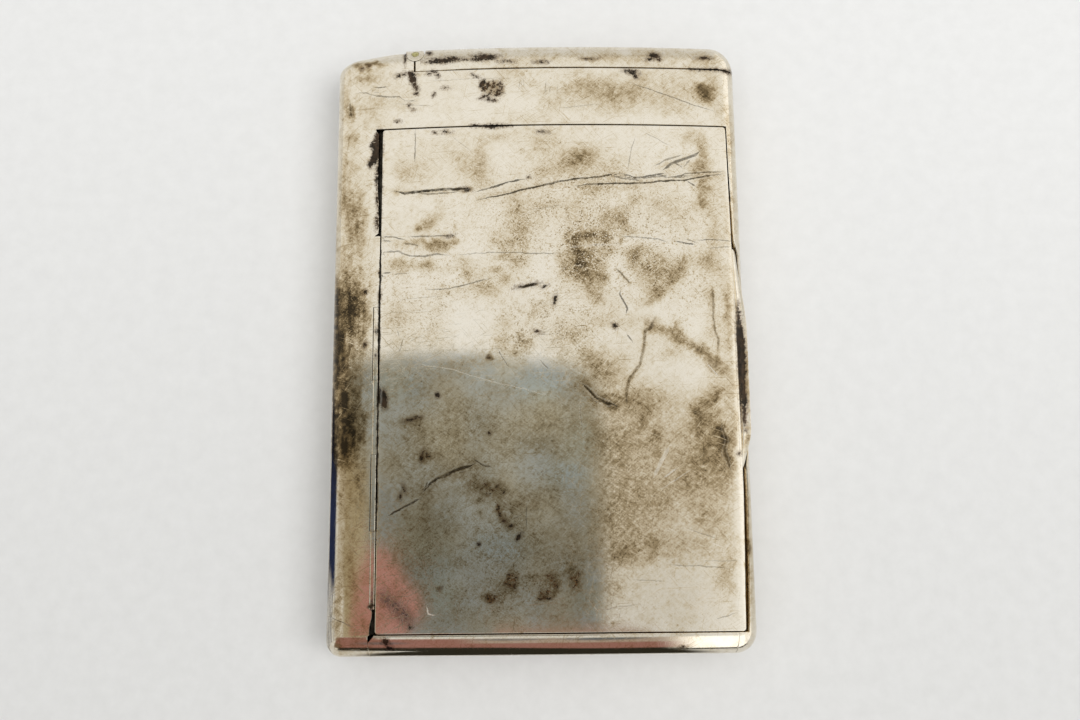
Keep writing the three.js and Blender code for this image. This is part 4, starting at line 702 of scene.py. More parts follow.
# ---------------------------------------------------------------- materials
class Nodes:
    """A small hand for wiring a material."""

    def __init__(self, name):
        self.mat = bpy.data.materials.new(name)
        self.mat.use_nodes = True
        self.tree = self.mat.node_tree
        self.bsdf = self.tree.nodes["Principled BSDF"]
        self.coord = self.tree.nodes.new("ShaderNodeTexCoord").outputs["Object"]

    def put(self, socket, value):
        if isinstance(value, bpy.types.NodeSocket):
            self.tree.links.new(value, socket)
        elif value is not None:
            socket.default_value = value

    def maths(self, kind, a, b=None, c=None, clamp=False):
        n = self.tree.nodes.new("ShaderNodeMath")
        n.operation, n.use_clamp = kind, clamp
        for k, value in enumerate((a, b, c)):
            self.put(n.inputs[k], value)
        return n.outputs[0]

    def span(self, value, a, b, c=0.0, d=1.0, kind="SMOOTHSTEP"):
        n = self.tree.nodes.new("ShaderNodeMapRange")
        n.interpolation_type = kind
        for k, q in enumerate((value, a, b, c, d)):
            self.put(n.inputs[k], q)
        return n.outputs[0]

    def noise(self, scale, detail=4.0, rough=0.55, stretch=None, turn=None, distort=0.0):
        n = self.tree.nodes.new("ShaderNodeTexNoise")
        n.inputs["Scale"].default_value, n.inputs["Detail"].default_value = scale, detail
        n.inputs["Roughness"].default_value, n.inputs["Distortion"].default_value = rough, distort
        source = self.coord
        if stretch or turn:
            m = self.tree.nodes.new("ShaderNodeMapping")
            m.vector_type = "TEXTURE"
            m.inputs["Scale"].default_value = tuple(1 / q for q in (stretch or (1, 1, 1)))
            m.inputs["Rotation"].default_value = turn or (0, 0, 0)
            self.put(m.inputs["Vector"], source)
            source = m.outputs[0]
        self.put(n.inputs["Vector"], source)
        return n.outputs["Fac"]

    def attribute(self, name, kind="Fac"):
        n = self.tree.nodes.new("ShaderNodeAttribute")
        n.attribute_name = name
        return n.outputs[kind]

    def split(self, vector):
        n = self.tree.nodes.new("ShaderNodeSeparateXYZ")
        self.put(n.inputs[0], vector)
        return n.outputs

    def mix(self, share, a, b):
        n = self.tree.nodes.new("ShaderNodeMix")
        n.data_type = "RGBA"
        self.put(n.inputs[0], share)
        self.put(n.inputs[6], a)
        self.put(n.inputs[7], b)
        return n.outputs[2]

    def ramp(self, value, stops):
        n = self.tree.nodes.new("ShaderNodeValToRGB")
        els = n.color_ramp.elements
        while len(els) < len(stops):
            els.new(0.5)
        for e, (at, colour) in zip(els, stops):
            e.position, e.color = at, (*colour, 1)
        self.put(n.inputs[0], value)
        return n.outputs[0]

    def bump(self, height, strength, distance, normal=None):
        n = self.tree.nodes.new("ShaderNodeBump")
        n.inputs["Strength"].default_value, n.inputs["Distance"].default_value = strength, distance
        self.put(n.inputs["Height"], height)
        if normal is not None:
            self.put(n.inputs["Normal"], normal)
        return n.outputs[0]


# thicker film of tarnish along the ramp, from bare metal to nearly black
FILM = [(0.0, (0.825, 0.772, 0.672)), (0.10, (0.726, 0.656, 0.524)), (0.22, (0.590, 0.494, 0.344)), (0.40, (0.368, 0.279, 0.160)), (0.62, (0.170, 0.120, 0.060)), (1.0, (0.040, 0.030, 0.018))]


def worn_silver():
    n = Nodes("silver_worn")
    brown, light = n.attribute("tarnish"), n.attribute("rubbed_and_highlight")
    spot = n.maths("SUBTRACT", 6.0, n.attribute("spot"))
    grain, fine, weave = n.noise(2100, 6, 0.70), n.noise(5600, 3, 0.6), n.noise(640, 6, 0.70)
    off = lambda q, k: n.maths("MULTIPLY", n.maths("SUBTRACT", q, 0.5), k)
    # hair lines left by rubbing, in four directions
    hair = None
    for size, angle in (((230, 7000, 400), 0.48), ((250, 7200, 400), -0.86), ((280, 7600, 400), 1.36), ((200, 6600, 400), 0.06)):
        line = n.span(n.noise(1, 2, 0.5, size, (0, 0, angle)), 0.355, 0.275)
        hair = line if hair is None else n.maths("MAXIMUM", hair, line)
    pale = n.maths("MAXIMUM", n.span(n.noise(1, 2, 0.5, (300, 8200, 400), (0, 0, 0.95)), 0.36, 0.27), n.span(n.noise(1, 2, 0.5, (320, 8600, 400), (0, 0, -0.35)), 0.36, 0.27))
    brush = n.maths("ADD", off(n.noise(1, 3, 0.6, (420, 5200, 400), (0, 0, 0.72)), 1.0), off(n.noise(1, 3, 0.6, (460, 5600, 400), (0, 0, -0.62)), 1.0))
    film = n.maths("ADD", n.span(n.noise(70, 6, 0.62), 0.40, 0.76, 0.0, 0.20), n.span(n.noise(240, 5, 0.66), 0.46, 0.74, 0.0, 0.15))
    mottle = n.maths("ADD", n.maths("ADD", off(grain, 1.8), off(fine, 1.3)), n.maths("MULTIPLY", brush, 0.95))
    density = n.maths("MULTIPLY", brown, n.maths("ADD", 1.0, n.maths("MULTIPLY", mottle, n.span(brown, 0.7, 2.2, 1.0, 0.42, "LINEAR"))))
    density = n.maths("ADD", density, n.maths("MULTIPLY", film, n.span(grain, 0.32, 0.68, 0.2, 1.6, "LINEAR")))
    speck = n.maths("MULTIPLY", n.span(fine, 0.585, 0.69), n.span(brown, 0.0, 0.9, 0.26, 1.0, "LINEAR"))
    density = n.maths("ADD", density, n.maths("MULTIPLY", speck, n.span(grain, 0.4, 0.6, 0.35, 1.15, "LINEAR")))
    density = n.maths("ADD", density, n.maths("ADD", n.maths("MULTIPLY", hair, 0.46), n.maths("MULTIPLY", n.maths("MAXIMUM", brush, 0.0), 0.55)))
    pitted = n.attribute("pitted")
    pits = n.maths("MULTIPLY", n.span(n.noise(3900, 3, 0.65), 0.52, 0.62), n.span(n.noise(1500, 3, 0.6), 0.38, 0.60, 0.15, 1.0))
    flecks = n.span(n.noise(4700, 3, 0.65), 0.53, 0.62)
    density = n.maths("ADD", density, n.maths("MULTIPLY", n.maths("MULTIPLY", pitted, pits), 1.35))
    density = n.maths("MULTIPLY", density, n.maths("SUBTRACT", 1.0, n.maths("MULTIPLY", n.maths("MULTIPLY", pitted, flecks), 0.90)))
    density = n.maths("MULTIPLY", density, n.maths("SUBTRACT", 1.0, n.maths("MULTIPLY", pale, 0.55)))
    # rubbed places and painted highlights: less tarnish here, and a paler colour mixed in below
    density = n.maths("MULTIPLY", density, n.maths("SUBTRACT", 1.0, n.maths("MULTIPLY", light, 0.72)))
    colour = n.ramp(n.maths("DIVIDE", density, 3.0, clamp=True), FILM)
    colour = n.mix(n.maths("MULTIPLY", light, 0.30), colour, (0.88, 0.84, 0.76, 1))
    rust = n.attribute("rust")
    edge = n.maths("ADD", n.maths("ADD", spot, off(grain, 6.5)), off(fine, 4.5))
    edge = n.maths("ADD", edge, n.maths("MULTIPLY", rust, off(n.noise(3300, 3, 0.65), 11.0)))
    stain = n.span(edge, 0.45, -0.55)
    halo = n.span(n.maths("ADD", n.maths("ADD", spot, off(grain, 7.0)), off(fine, 6.0)), 2.4, 0.4)
    halo = n.maths("MULTIPLY", halo, n.maths("SUBTRACT", 1.0, n.maths("MULTIPLY", rust, 0.8)))
    colour = n.mix(n.maths("MULTIPLY", halo, 0.55), colour, (0.19, 0.125, 0.07, 1))
    grains = n.maths("MULTIPLY", rust, n.span(n.noise(2300, 4, 0.70), 0.525, 0.570))
    colour = n.mix(n.maths("MULTIPLY", grains, 0.72), colour, (0.230, 0.128, 0.050, 1))
    crust = n.mix(n.span(weave, 0.42, 0.62), (0.014, 0.011, 0.008, 1), (0.060, 0.036, 0.021, 1))
    crust = n.mix(n.maths("MULTIPLY", rust, n.span(n.noise(2900, 3, 0.65), 0.48, 0.56)), crust, (0.150, 0.080, 0.031, 1))
    colour = n.mix(n.maths("MULTIPLY", stain, 0.95), colour, crust)
    breaks = n.maths("MULTIPLY", n.span(n.noise(820, 3, 0.6), 0.34, 0.50, 0.62, 1.0), n.span(grain, 0.34, 0.56, 0.80, 1.0))
    cuts_and_seam_shade, shine = None, None
    # dark cuts, bright scratches and the painted seam shadow
    for label in ("cuts_and_seam_shade_a", "cuts_b"):
        across, strength, width = n.split(n.attribute(label, "Vector"))
        ragged = n.maths("ADD", across, n.maths("ADD", off(fine, 1.5), off(grain, 1.5)))
        away = n.maths("DIVIDE", n.maths("ABSOLUTE", ragged), n.maths("MAXIMUM", width, 0.2))
        core = n.maths("MULTIPLY", n.span(away, 1.15, 0.65), breaks)
        dark = n.maths("MULTIPLY", core, n.maths("MAXIMUM", strength, 0.0))
        bright = n.maths("MULTIPLY", core, n.maths("MAXIMUM", n.maths("MULTIPLY", strength, -1.0), 0.0))
        # painted highlight: a pale rim along both sides of each dark cut
        rim = n.maths("MULTIPLY", n.maths("MULTIPLY", n.span(away, 1.2, 1.8), n.span(away, 3.0, 2.0)), n.maths("MAXIMUM", strength, 0.0))
        colour = n.mix(n.maths("MULTIPLY", rim, 0.22), colour, (0.86, 0.81, 0.70, 1))
        colour = n.mix(bright, colour, (0.84, 0.81, 0.74, 1))
        colour = n.mix(n.maths("MULTIPLY", dark, 0.94), colour, (0.034, 0.025, 0.014, 1))
        cuts_and_seam_shade = dark if cuts_and_seam_shade is None else n.maths("MAXIMUM", cuts_and_seam_shade, dark)
        shine = bright if shine is None else n.maths("MAXIMUM", shine, bright)
    n.put(n.bsdf.inputs["Base Color"], colour)
    # dark stains, dark cuts and the painted seam shadow are also made rougher and sunk a little
    dirt = n.maths("MAXIMUM", stain, cuts_and_seam_shade)
    n.bsdf.inputs["Metallic"].default_value = 1.0
    rough = n.maths("ADD", n.span(density, 0.0, 1.8, 0.075, 0.25, "LINEAR"), n.maths("ADD", n.maths("ADD", n.maths("MULTIPLY", dirt, 0.3), n.maths("MULTIPLY", shine, 0.6)), n.maths("MULTIPLY", hair, 0.05)))
    rough = n.maths("ADD", rough, n.maths("ADD", n.maths("ADD", off(weave, 0.05), off(grain, 0.12)), n.maths("MULTIPLY", brush, 0.12)), clamp=True)
    n.put(n.bsdf.inputs["Roughness"], rough)
    lift = n.maths("SUBTRACT", n.maths("MULTIPLY", grain, 0.6), n.maths("ADD", n.maths("MULTIPLY", hair, 0.5), dirt))
    n.put(n.bsdf.inputs["Normal"], n.bump(lift, 0.20, 0.00003))
    return n.mat


def lined(name, bare, worn, scale, rough0, rough1, streak=(1, 1, 1), metallic=1.0):
    """A plainer metal with a mottled film and fine marks."""
    n = Nodes(name)
    cloud = n.span(n.noise(scale, 6, 0.62), 0.36, 0.68)
    grain = n.noise(1, 5, 0.6, tuple(2600 * q for q in streak))
    share = n.maths("MULTIPLY", cloud, n.span(grain, 0.3, 0.7, 0.5, 1.2, "LINEAR"), clamp=True)
    colour = n.mix(share, (*bare, 1), (*worn, 1))
    speck = n.span(n.noise(3600, 3, 0.6), 0.66, 0.74)
    colour = n.mix(n.maths("MULTIPLY", speck, 0.6), colour, tuple(0.3 * q for q in worn) + (1,))
    n.put(n.bsdf.inputs["Base Color"], colour)
    n.bsdf.inputs["Metallic"].default_value = metallic
    n.put(n.bsdf.inputs["Roughness"], n.span(share, 0.0, 1.0, rough0, rough1, "LINEAR"))
    n.put(n.bsdf.inputs["Normal"], n.bump(grain, 0.2, 0.00003))
    return n.mat


silver = worn_silver()
inside_mat = lined("gilt_inside", (0.80, 0.66, 0.37), (0.50, 0.36, 0.17), 160, 0.22, 0.42, (1.0, 0.12, 1.0))
steel = lined("spring_steel", (0.40, 0.39, 0.37), (0.16, 0.12, 0.08), 500, 0.28, 0.5, (1, 0.15, 1))
brass = lined("pin_brass", (0.60, 0.55, 0.26), (0.34, 0.30, 0.13), 1500, 0.35, 0.5)
# dirt and painted shade: the strip under the hinge groove gets a near-black finish that stands in partly for the shade
# down in the groove
groove = lined("groove_dirt_and_shade", (0.085, 0.077, 0.060), (0.030, 0.026, 0.019), 700, 0.45, 0.65)

# the right edge of the lid stands out along the thumb lift, and the wall beside it is cut back
EDGE_Y = np.array([-42.2, -41.0, -37.5, -31.6, -22.9, -18.5, -5.4, 6.3, 16.5, 24.5, 31.6])
LID_OUT = np.array([0.0, 0.02, 0.10, 0.32, 0.58, 0.60, 0.50, 0.36, 0.22, 0.08, 0.0])
WALL_OUT = np.array([0.0, 0.16, 0.34, 0.54, 0.86, 0.86, 0.60, 0.40, 0.08, -0.14, -0.24])


def lid_out(v):
    return np.interp(v, EDGE_Y, LID_OUT)


# ---------------------------------------------------------------- front lid panel
cL, cR = c_at_x(LID_X0), c_at_x(LID_X1)
lid_cols = lines(cL, cR, 0.21, (cL, cR))
lid_rows = lines(LID_Y0, LID_Y1, 0.21, (LID_Y0, LID_Y1))
C, V = np.meshgrid(lid_cols, lid_rows)


def soften_corners(C, V, c0, c1, v0, v1, r):
    """Turns the square corners of a grid to radius r."""
    C, V = C.copy(), V.copy()
    for ce, cs in ((c0, -1), (c1, 1)):
        for ve, vs in ((v0, -1), (v1, 1)):
            p, q = (C - (ce - cs * r)) * cs / r, (V - (ve - vs * r)) * vs / r
            on = (p > 0) & (q > 0)
            pn, qn = p * np.sqrt(np.maximum(1 - q * q / 2, 0)), q * np.sqrt(np.maximum(1 - p * p / 2, 0))
            C = np.where(on, ce - cs * r + cs * r * pn, C)
            V = np.where(on, ve - vs * r + vs * r * qn, V)
    return C, V


def inset(C, V, c0, c1, v0, v1, r):
    """Distance in from the edge of a rectangle with corners of radius r."""
    px, py = np.abs(C - (c0 + c1) / 2) - (c1 - c0) / 2 + r, np.abs(V - (v0 + v1) / 2) - (v1 - v0) / 2 + r
    return -(np.hypot(np.maximum(px, 0), np.maximum(py, 0)) + np.minimum(np.maximum(px, py), 0) - r)


C, V = soften_corners(C, V, cL, cR, LID_Y0, LID_Y1, 0.45)
from_edge = inset(C, V, cL, cR, LID_Y0, LID_Y1, 0.45)
V = V + 0.09 * ease((V - LID_Y1 + 3) / 3)
C = C + lid_out(V) * ease((C - cR + 5) / 5)
drop = round_over(from_edge, 0.09) + dents(front(C, V))
lid = sheet(front, C, V, np.ones((len(lid_rows) - 1, len(lid_cols) - 1), bool), WALL, drop, coarse_inside=True)
build("lid_panel_worn", lid, "front_lid", ["lid_panel"], (silver, inside_mat))

# ---------------------------------------------------------------- front shell
z0 = ZT0 + EDGE_R
lift_root = (LID_X1 + 0.12, ZT0 + math.sqrt(EDGE_R ** 2 - (LID_X1 + 0.12 - BODY_X - XB0) ** 2))


def lift_share(y):
    y = np.asarray(y, float)
    up = ease((y - THUMB_Y0) / (THUMB_PEAK_Y0 - THUMB_Y0))
    down = ease((THUMB_Y1 - y) / (THUMB_Y1 - THUMB_PEAK_Y1))
    return 0.25 + 0.75 * np.minimum(up, down)


LIFT_END0, LIFT_END1 = THUMB_Y0 + 0.9, THUMB_Y1 - 1.6
NOTCH0, NOTCH1 = LIFT_END0 - NOTCH_CLEAR, LIFT_END1 + NOTCH_CLEAR
cG, cE = c_at_x(GROOVE_X0 + 0.02), c_at_x(LID_X1 + GAP_RIGHT)
cPin = c_at_x(PIN_X)
HOLE_Y0, HOLE_Y1 = LID_Y0 - GAP_BOTTOM, LID_Y1 + GAP_TOP
cap_left, cap_low = cPin - CAP_GAP / 2, CAP_SEAM_Y - CAP_GAP / 2
end_left, end_right = c_at_x(END_X0 - 0.01), c_at_x(END_X1 + 0.01)


def body_edge(y):
    """c of the right wall's upper edge, lower along the finger notch."""
    y = np.asarray(y, float)
    floor = lift_root[1] - lift_share(y) * (lift_root[1] - (z0 - 2.68)) - NOTCH_CLEAR
    notch = np.array([c_at_z(z) for z in floor.ravel()]).reshape(floor.shape)
    beside = np.array([c_at_x(x) for x in LID_X1 + GAP_RIGHT + np.interp(y, EDGE_Y, WALL_OUT).ravel()]).reshape(y.shape)
    beside = np.where((y > HOLE_Y0 - 0.3) & (y < HOLE_Y1 + 0.3), beside, cE)
    return beside + np.maximum(notch - beside, 0) * ease((NOTCH1 + 1.4 - y) / 2.6) * ease((y - NOTCH0 + 0.6) / 1.4)


wall_u = np.array([0.25, 0.5, 0.75, 1.0])
side_f = XT0 + ARC_F + WALL_F * wall_u
side_b = XB0 + ARC_B + WALL_B * wall_u
end_v = 45 + END_F * wall_u


def worn_corner(place):
    """The fixed corner beside the end cap, knocked a little lower than the cap."""
    def placed(c, v, w=0.0):
        q = place(c, v, w)
        side = ease((PIN_X - 1.3 - q[..., 0]) / 0.4)
        fall = 0.36 + 0.74 * ease((PIN_X - 2.0 - q[..., 0]) / 8.0)
        q[..., 1] -= side * fall * ease((q[..., 1] - 40.5) / 4.5)
        return q
    return placed


shell_front, shell_back = worn_corner(front), worn_corner(back)
fs_left = np.concatenate([-side_f[::-1], -lines(XT0, XT0 + ARC_F, 0.3)[::-1][0:], -lines(-cG, XT0, 0.25, (-cG,))[::-1][1:]])
fs_mid = lines(cG, cE, 0.25, (cG, cE, cap_left, end_left, end_right))[1:]
relief_left = cPin - EYE_ROOT - EYE_STEP
pin_cols = np.arange(relief_left, cap_left, 0.11)
fs_mid = np.unique(np.round(np.concatenate([fs_mid[(fs_mid < relief_left - 0.02) | (fs_mid > cap_left - 0.001)], pin_cols]), 6))
fs_right = np.concatenate([lines(cE, XT0 + ARC_F, 0.25, (cE,))[1:], side_f])
fs_cols = np.concatenate([fs_left, fs_mid, fs_right])
keepers = [0]
for k in range(1, len(fs_cols)):
    if fs_cols[k] - fs_cols[keepers[-1]] > 0.008:
        keepers.append(k)
fs_cols = fs_cols[keepers]
fs_rows = np.concatenate([
    -end_v[::-1],
    lines(-45, 45, 0.3, (HOLE_Y0, HOLE_Y1, NOTCH0, NOTCH1, cap_low, PIN_Y), (0.03, 0.08, 0.15)),
    end_v,
])
extra = np.concatenate([np.arange(PIN_Y - 1.6, 44.96, 0.11), 45 - EDGE_R * (1 - np.cos(np.linspace(0, PI / 2, 14))), -45 + EDGE_R * (1 - np.cos(np.linspace(0, PI / 2, 14)))])
fs_rows = np.unique(np.round(np.concatenate([fs_rows, extra]), 5))
important = np.array([-45, 45, HOLE_Y0, HOLE_Y1, NOTCH0, NOTCH1, cap_low, PIN_Y])


def thin_out(values, important, least):
    """Drops values closer together than least, keeping the important ones."""
    out = [values[0]]
    for p in values[1:]:
        if p - out[-1] >= least:
            out.append(p)
        elif np.min(np.abs(important - p)) < 1e-4 and np.min(np.abs(important - out[-1])) > 1e-4:
            out[-1] = p
    return np.array(out)


fs_rows = thin_out(fs_rows, important, 0.02)
C, V = np.meshgrid(fs_cols, fs_rows)
edge_now = body_edge(fs_rows)[:, None]
right_part = C >= cE - 1e-6
C = np.where(right_part, edge_now + (CM_F - edge_now) * (C - cE) / (CM_F - cE), C)
cc, vv = np.meshgrid((fs_cols[1:] + fs_cols[:-1]) / 2, (fs_rows[1:] + fs_rows[:-1]) / 2)
in_hole = (cc > cG) & (cc < cE) & (vv > HOLE_Y0) & (vv < HOLE_Y1)
in_cap = (cc > cap_left) & (vv > cap_low)
in_end = (cc > end_left) & (cc < end_right) & (vv < HOLE_Y0)
on_side_end = (np.abs(cc) > XT0) & (np.abs(vv) > 45)
in_eye = np.hypot(cc - cPin, vv - PIN_Y) < EYE_HOLE_R
in_relief = (cc > relief_left) & (cc < cPin) & (vv > PIN_Y)
keep = ~(in_hole | in_cap | in_end | on_side_end | in_eye | in_relief)


def snap_to_circle(C, V, keep, gone, c0, v0, r):
    """Moves the corners between kept and removed cells on to a circle."""
    m, n = C.shape
    beside_gone, beside_kept = np.zeros((m, n), bool), np.zeros((m, n), bool)
    for di in (0, 1):
        for dj in (0, 1):
            beside_gone[di:m - 1 + di, dj:n - 1 + dj] |= gone
            beside_kept[di:m - 1 + di, dj:n - 1 + dj] |= keep
    on = beside_gone & beside_kept
    d = np.hypot(C - c0, V - v0)
    on &= np.abs(d - r) < 0.2
    return np.where(on, c0 + (C - c0) * r / d, C), np.where(on, v0 + (V - v0) * r / d, V)


C, V = snap_to_circle(C, V, keep, in_eye & (vv < PIN_Y), cPin, PIN_Y, EYE_HOLE_R)
d_edge = np.minimum.reduce([
    to_rect(C, V, relief_left, cPin, PIN_Y, 99),
    to_rect(C, V, cG, cE, HOLE_Y0, HOLE_Y1),
    to_rect(C, V, cap_left, 99, cap_low, 99),
    np.maximum(np.hypot(C - cPin, V - PIN_Y) - EYE_HOLE_R, 0),
])
d_edge = np.where(right_part & (V > HOLE_Y0) & (V < HOLE_Y1), np.minimum(d_edge, C - edge_now), d_edge)
fade = 1 - ease((np.abs(C) - XT0 + 2) / 4)
beside_barrel = (C <= cG + 1e-6) & (V > BARREL_Y0) & (V < BARREL_Y1)
beside_pin = np.where((C < cPin) & (V > cap_low) & (V < PIN_Y), cap_left - C, 9)
drop = np.maximum.reduce([np.where(beside_barrel, round_over(d_edge, 0.02), round_over(d_edge, 0.07)), round_over(beside_pin, 0.17)])
drop = np.maximum(drop, round_over(to_rect(C, V, end_left, end_right, -99, HOLE_Y0), 0.025)) + dents(front(C, V)) * fade


def groove_in(v):
    """How far the edge of the hinge groove comes in: over the fixed knuckles, and beyond each end of the barrel, where it is ragged."""
    top = np.maximum(ease((29.5 - v) / 12.0), 0.70 * ease((HOLE_Y1 - 0.15 - v) / 0.7)) * ease((v - BARREL_Y1) / 0.3)
    low = (0.42 + 0.58 * ease((v + 41.4) / 2.2)) * ease((BARREL_Y0 - v) / 0.14) * ease((v + 42.3) / 0.3)
    open_part = ease((v - BARREL_Y1) / 0.6) * ease((LID_Y1 - v) / 0.6)
    over = 0.0
    for k in range(0, KNUCKLES, 2):
        y0 = BARREL_Y0 + k * (BARREL_Y1 - BARREL_Y0) / KNUCKLES
        over = np.maximum(over, ease((v - y0 - 0.35) / 0.1) * ease((y0 + (BARREL_Y1 - BARREL_Y0) / KNUCKLES - 0.35 - v) / 0.1))
    return 0.20 * over + 0.60 * np.maximum(top, low) + 0.16 * open_part * (clouds(v * 1.1 + 60, 0 * v + 7, 61, 3) - 0.55)


C = C + np.where(C <= cG + 1e-6, groove_in(V) * ease((C - cG + 3) / 3), 0)
p = sheet(shell_front, C, V, keep, WALL, drop)
build("front_shell_worn", p, "case", ["front_shell"], (silver, inside_mat))

# ---------------------------------------------------------------- back shell
bs_half = np.concatenate([lines(0, XB0, 0.9, (abs(c_at_x(END_X0)),)), lines(XB0, XB0 + ARC_B, 0.35)[1:], side_b])
cPinB = PIN_X - BODY_X
bs_cols = np.unique(np.round(np.concatenate([-bs_half, bs_half, lines(cPinB - EYE_ROOT - EYE_STEP, cPinB - CAP_GAP / 2, 0.11),
                                             [END_X0 - 0.01 - BODY_X, 26.8 + 0.01 - BODY_X]]), 6))
bs_cols = thin_out(bs_cols, np.array([cPinB - CAP_GAP / 2, cPinB - EYE_ROOT - EYE_STEP, END_X0 - 0.01 - BODY_X, 26.8 + 0.01 - BODY_X, XB0, -XB0]), 0.03)
bs_rows = np.concatenate([-end_v[::-1], lines(-45, 45, 0.9, (HOLE_Y0, cap_low, PIN_Y), (0.05, 0.12)), end_v])
bs_rows = np.unique(np.round(np.concatenate([bs_rows, extra]), 5))
bs_rows = thin_out(bs_rows, np.array([-45, 45, HOLE_Y0, cap_low, PIN_Y]), 0.025)
C, V = np.meshgrid(bs_cols, bs_rows)
cc, vv = np.meshgrid((bs_cols[1:] + bs_cols[:-1]) / 2, (bs_rows[1:] + bs_rows[:-1]) / 2)
bL, bR = END_X0 - 0.01 - BODY_X, 26.8 + 0.01 - BODY_X
in_cap = (cc > cPinB - CAP_GAP / 2) & (vv > cap_low)
in_end = (cc > bL) & (cc < bR) & (vv < HOLE_Y0)
on_side_end = (np.abs(cc) > XB0) & (np.abs(vv) > 45)
in_eye = np.hypot(cc - cPinB, vv - PIN_Y) < EYE_HOLE_R
in_relief = (cc > cPinB - EYE_ROOT - EYE_STEP) & (cc < cPinB) & (vv > PIN_Y)
keep = ~(in_cap | in_end | on_side_end | in_eye | in_relief)
C, V = snap_to_circle(C, V, keep, in_eye & (vv < PIN_Y), cPinB, PIN_Y, EYE_HOLE_R)
d_edge = np.minimum.reduce([
    to_rect(C, V, cPinB - EYE_ROOT - EYE_STEP, cPinB, PIN_Y, 99),
    to_rect(C, V, cPinB - CAP_GAP / 2, 99, cap_low, 99),
    to_rect(C, V, bL, bR, -99, HOLE_Y0),
    np.maximum(np.hypot(C - cPinB, V - PIN_Y) - EYE_HOLE_R, 0),
])
p = sheet(shell_back, C, V, keep, WALL, round_over(d_edge, 0.12))
build("back_shell_worn", p, "case", ["back_shell"], (silver, inside_mat))

# ---------------------------------------------------------------- end cap
cap_c0 = cPin + CAP_GAP / 2
cap_v0 = CAP_SEAM_Y + CAP_GAP / 2
near_pin = np.append(np.arange(cap_c0, cPin + CAP_RELIEF - 0.05, 0.11), cPin + CAP_RELIEF)
flat_cols = np.unique(np.round(np.concatenate([lines(cap_c0, XT0, 0.25, (cap_c0, FIXED)), near_pin]), 6))
flat_cols = thin_out(flat_cols, np.array([cap_c0, FIXED, XT0, cPin + CAP_RELIEF]), 0.03)
front_cols = np.concatenate([flat_cols, lines(XT0, XT0 + ARC_F, 0.3)[1:], side_f])
back_flat = np.where(flat_cols <= FIXED, flat_cols, FIXED + (flat_cols - FIXED) * (XB0 - FIXED) / (XT0 - FIXED))
back_cols = np.concatenate([side_b[:-1][::-1], lines(XB0, XB0 + ARC_B, 0.3)[::-1], back_flat[::-1][1:]])
loop_c = np.concatenate([front_cols, back_cols])
loop_back = np.concatenate([np.zeros(len(front_cols), bool), np.ones(len(back_cols), bool)])
cap_rows = np.unique(np.round(np.concatenate([
    lines(cap_v0, 45, 0.25, (cap_v0, PIN_Y - EYE_STEP)), np.arange(PIN_Y - 1.6, 44.96, 0.11),
    45 - EDGE_R * (1 - np.cos(np.linspace(0, PI / 2, 14))), end_v]), 5))
cap_rows = thin_out(cap_rows, np.array([cap_v0, 45.0, PIN_Y - EYE_STEP]), 0.02)
C, V = np.meshgrid(loop_c, cap_rows)
B = np.broadcast_to(loop_back, C.shape)


def cap_place(C, V, w):
    return np.where(B[..., None], back(C, V, w), front(C, V, w))


cc = (loop_c[1:] + loop_c[:-1]) / 2
# the cell between the last front column and the first back column is an ordinary one on the side wall
vv = (cap_rows[1:] + cap_rows[:-1]) / 2
cc, vv = np.meshgrid(cc, vv)
limit = np.where((loop_back[1:] | loop_back[:-1]), XB0, XT0)[None, :]
in_eye = np.hypot(cc - cPin, vv - PIN_Y) < EYE_HOLE_R
in_relief = (cc < cPin + CAP_RELIEF) & (vv > PIN_Y - EYE_STEP)
keep = ~(((cc > limit) & (vv > 45)) | in_eye | in_relief)
C, V = snap_to_circle(C, V, keep, in_eye & (vv < PIN_Y - EYE_STEP), cPin, PIN_Y, EYE_HOLE_R)
d_edge = np.minimum.reduce([C - cap_c0 + 0 * V, np.where(V < 45, V - cap_v0, 99), to_rect(C, V, -99, cPin + CAP_RELIEF, PIN_Y - EYE_STEP, 99),
                            np.maximum(np.hypot(C - cPin, V - PIN_Y) - EYE_HOLE_R, 0)])
drop = np.maximum(round_over(d_edge, 0.08), round_over(np.where(V < PIN_Y, C - cap_c0, 9), 0.17)) + np.where(B, 0, dents(front(C, V))) * (1 - ease((V - 42) / 3))
V = V - np.where(B, 0, 0.10 * ease((cPin + 9 - C) / 7) * ease((cap_v0 + 1.5 - V) / 1.5))
p = sheet(cap_place, C, V, keep, WALL, drop)
build("end_lid_cap_worn", p, "end_lid", ["end_lid_cap"], (silver, inside_mat))

# ---------------------------------------------------------------- bottom end plate
plate_c0, plate_c1, plate_v = c_at_x(END_X0), c_at_x(END_X1), LID_Y0 - GAP_BOTTOM - 0.02
plate_cols = np.unique(np.round(np.concatenate([
    lines(plate_c0, plate_c1, 0.25, (plate_c0, plate_c1)),
    np.arange(RIB_X[0], RIB_X[1] + 0.01, RIB_PITCH / 4) - BODY_X]), 6))
plate_cols = thin_out(plate_cols, np.array([plate_c0, plate_c1]), 0.04)
turn = -45 + EDGE_R * (1 - np.cos(np.linspace(0, PI / 2, 22)))
turn = turn[turn < plate_v - 0.03]
front_v = np.concatenate([turn, plate_v - np.array([0.09, 0.04, 0.0])])
front_v = np.unique(np.round(np.concatenate([front_v, [-45.0]]), 6))
ef = np.linspace(0, 1, 16)[1:]
row_v = np.concatenate([front_v[::-1], -45 - END_F * ef, (-45 - END_F * ef)[::-1][1:], front_v])
row_back = np.concatenate([np.ones(len(front_v) + len(ef), bool), np.zeros(len(ef) - 1 + len(front_v), bool)])
V, C = np.meshgrid(row_v, plate_cols, indexing="ij")
B = np.broadcast_to(row_back[:, None], C.shape)
# the mitre at the upper left
mitre = np.where(B, 0.0, np.clip((V - (plate_v - 1.0)), 0, 1.0) * 0.9)
C = C + mitre * (1 - np.clip((C - plate_c0) / 6, 0, 1))


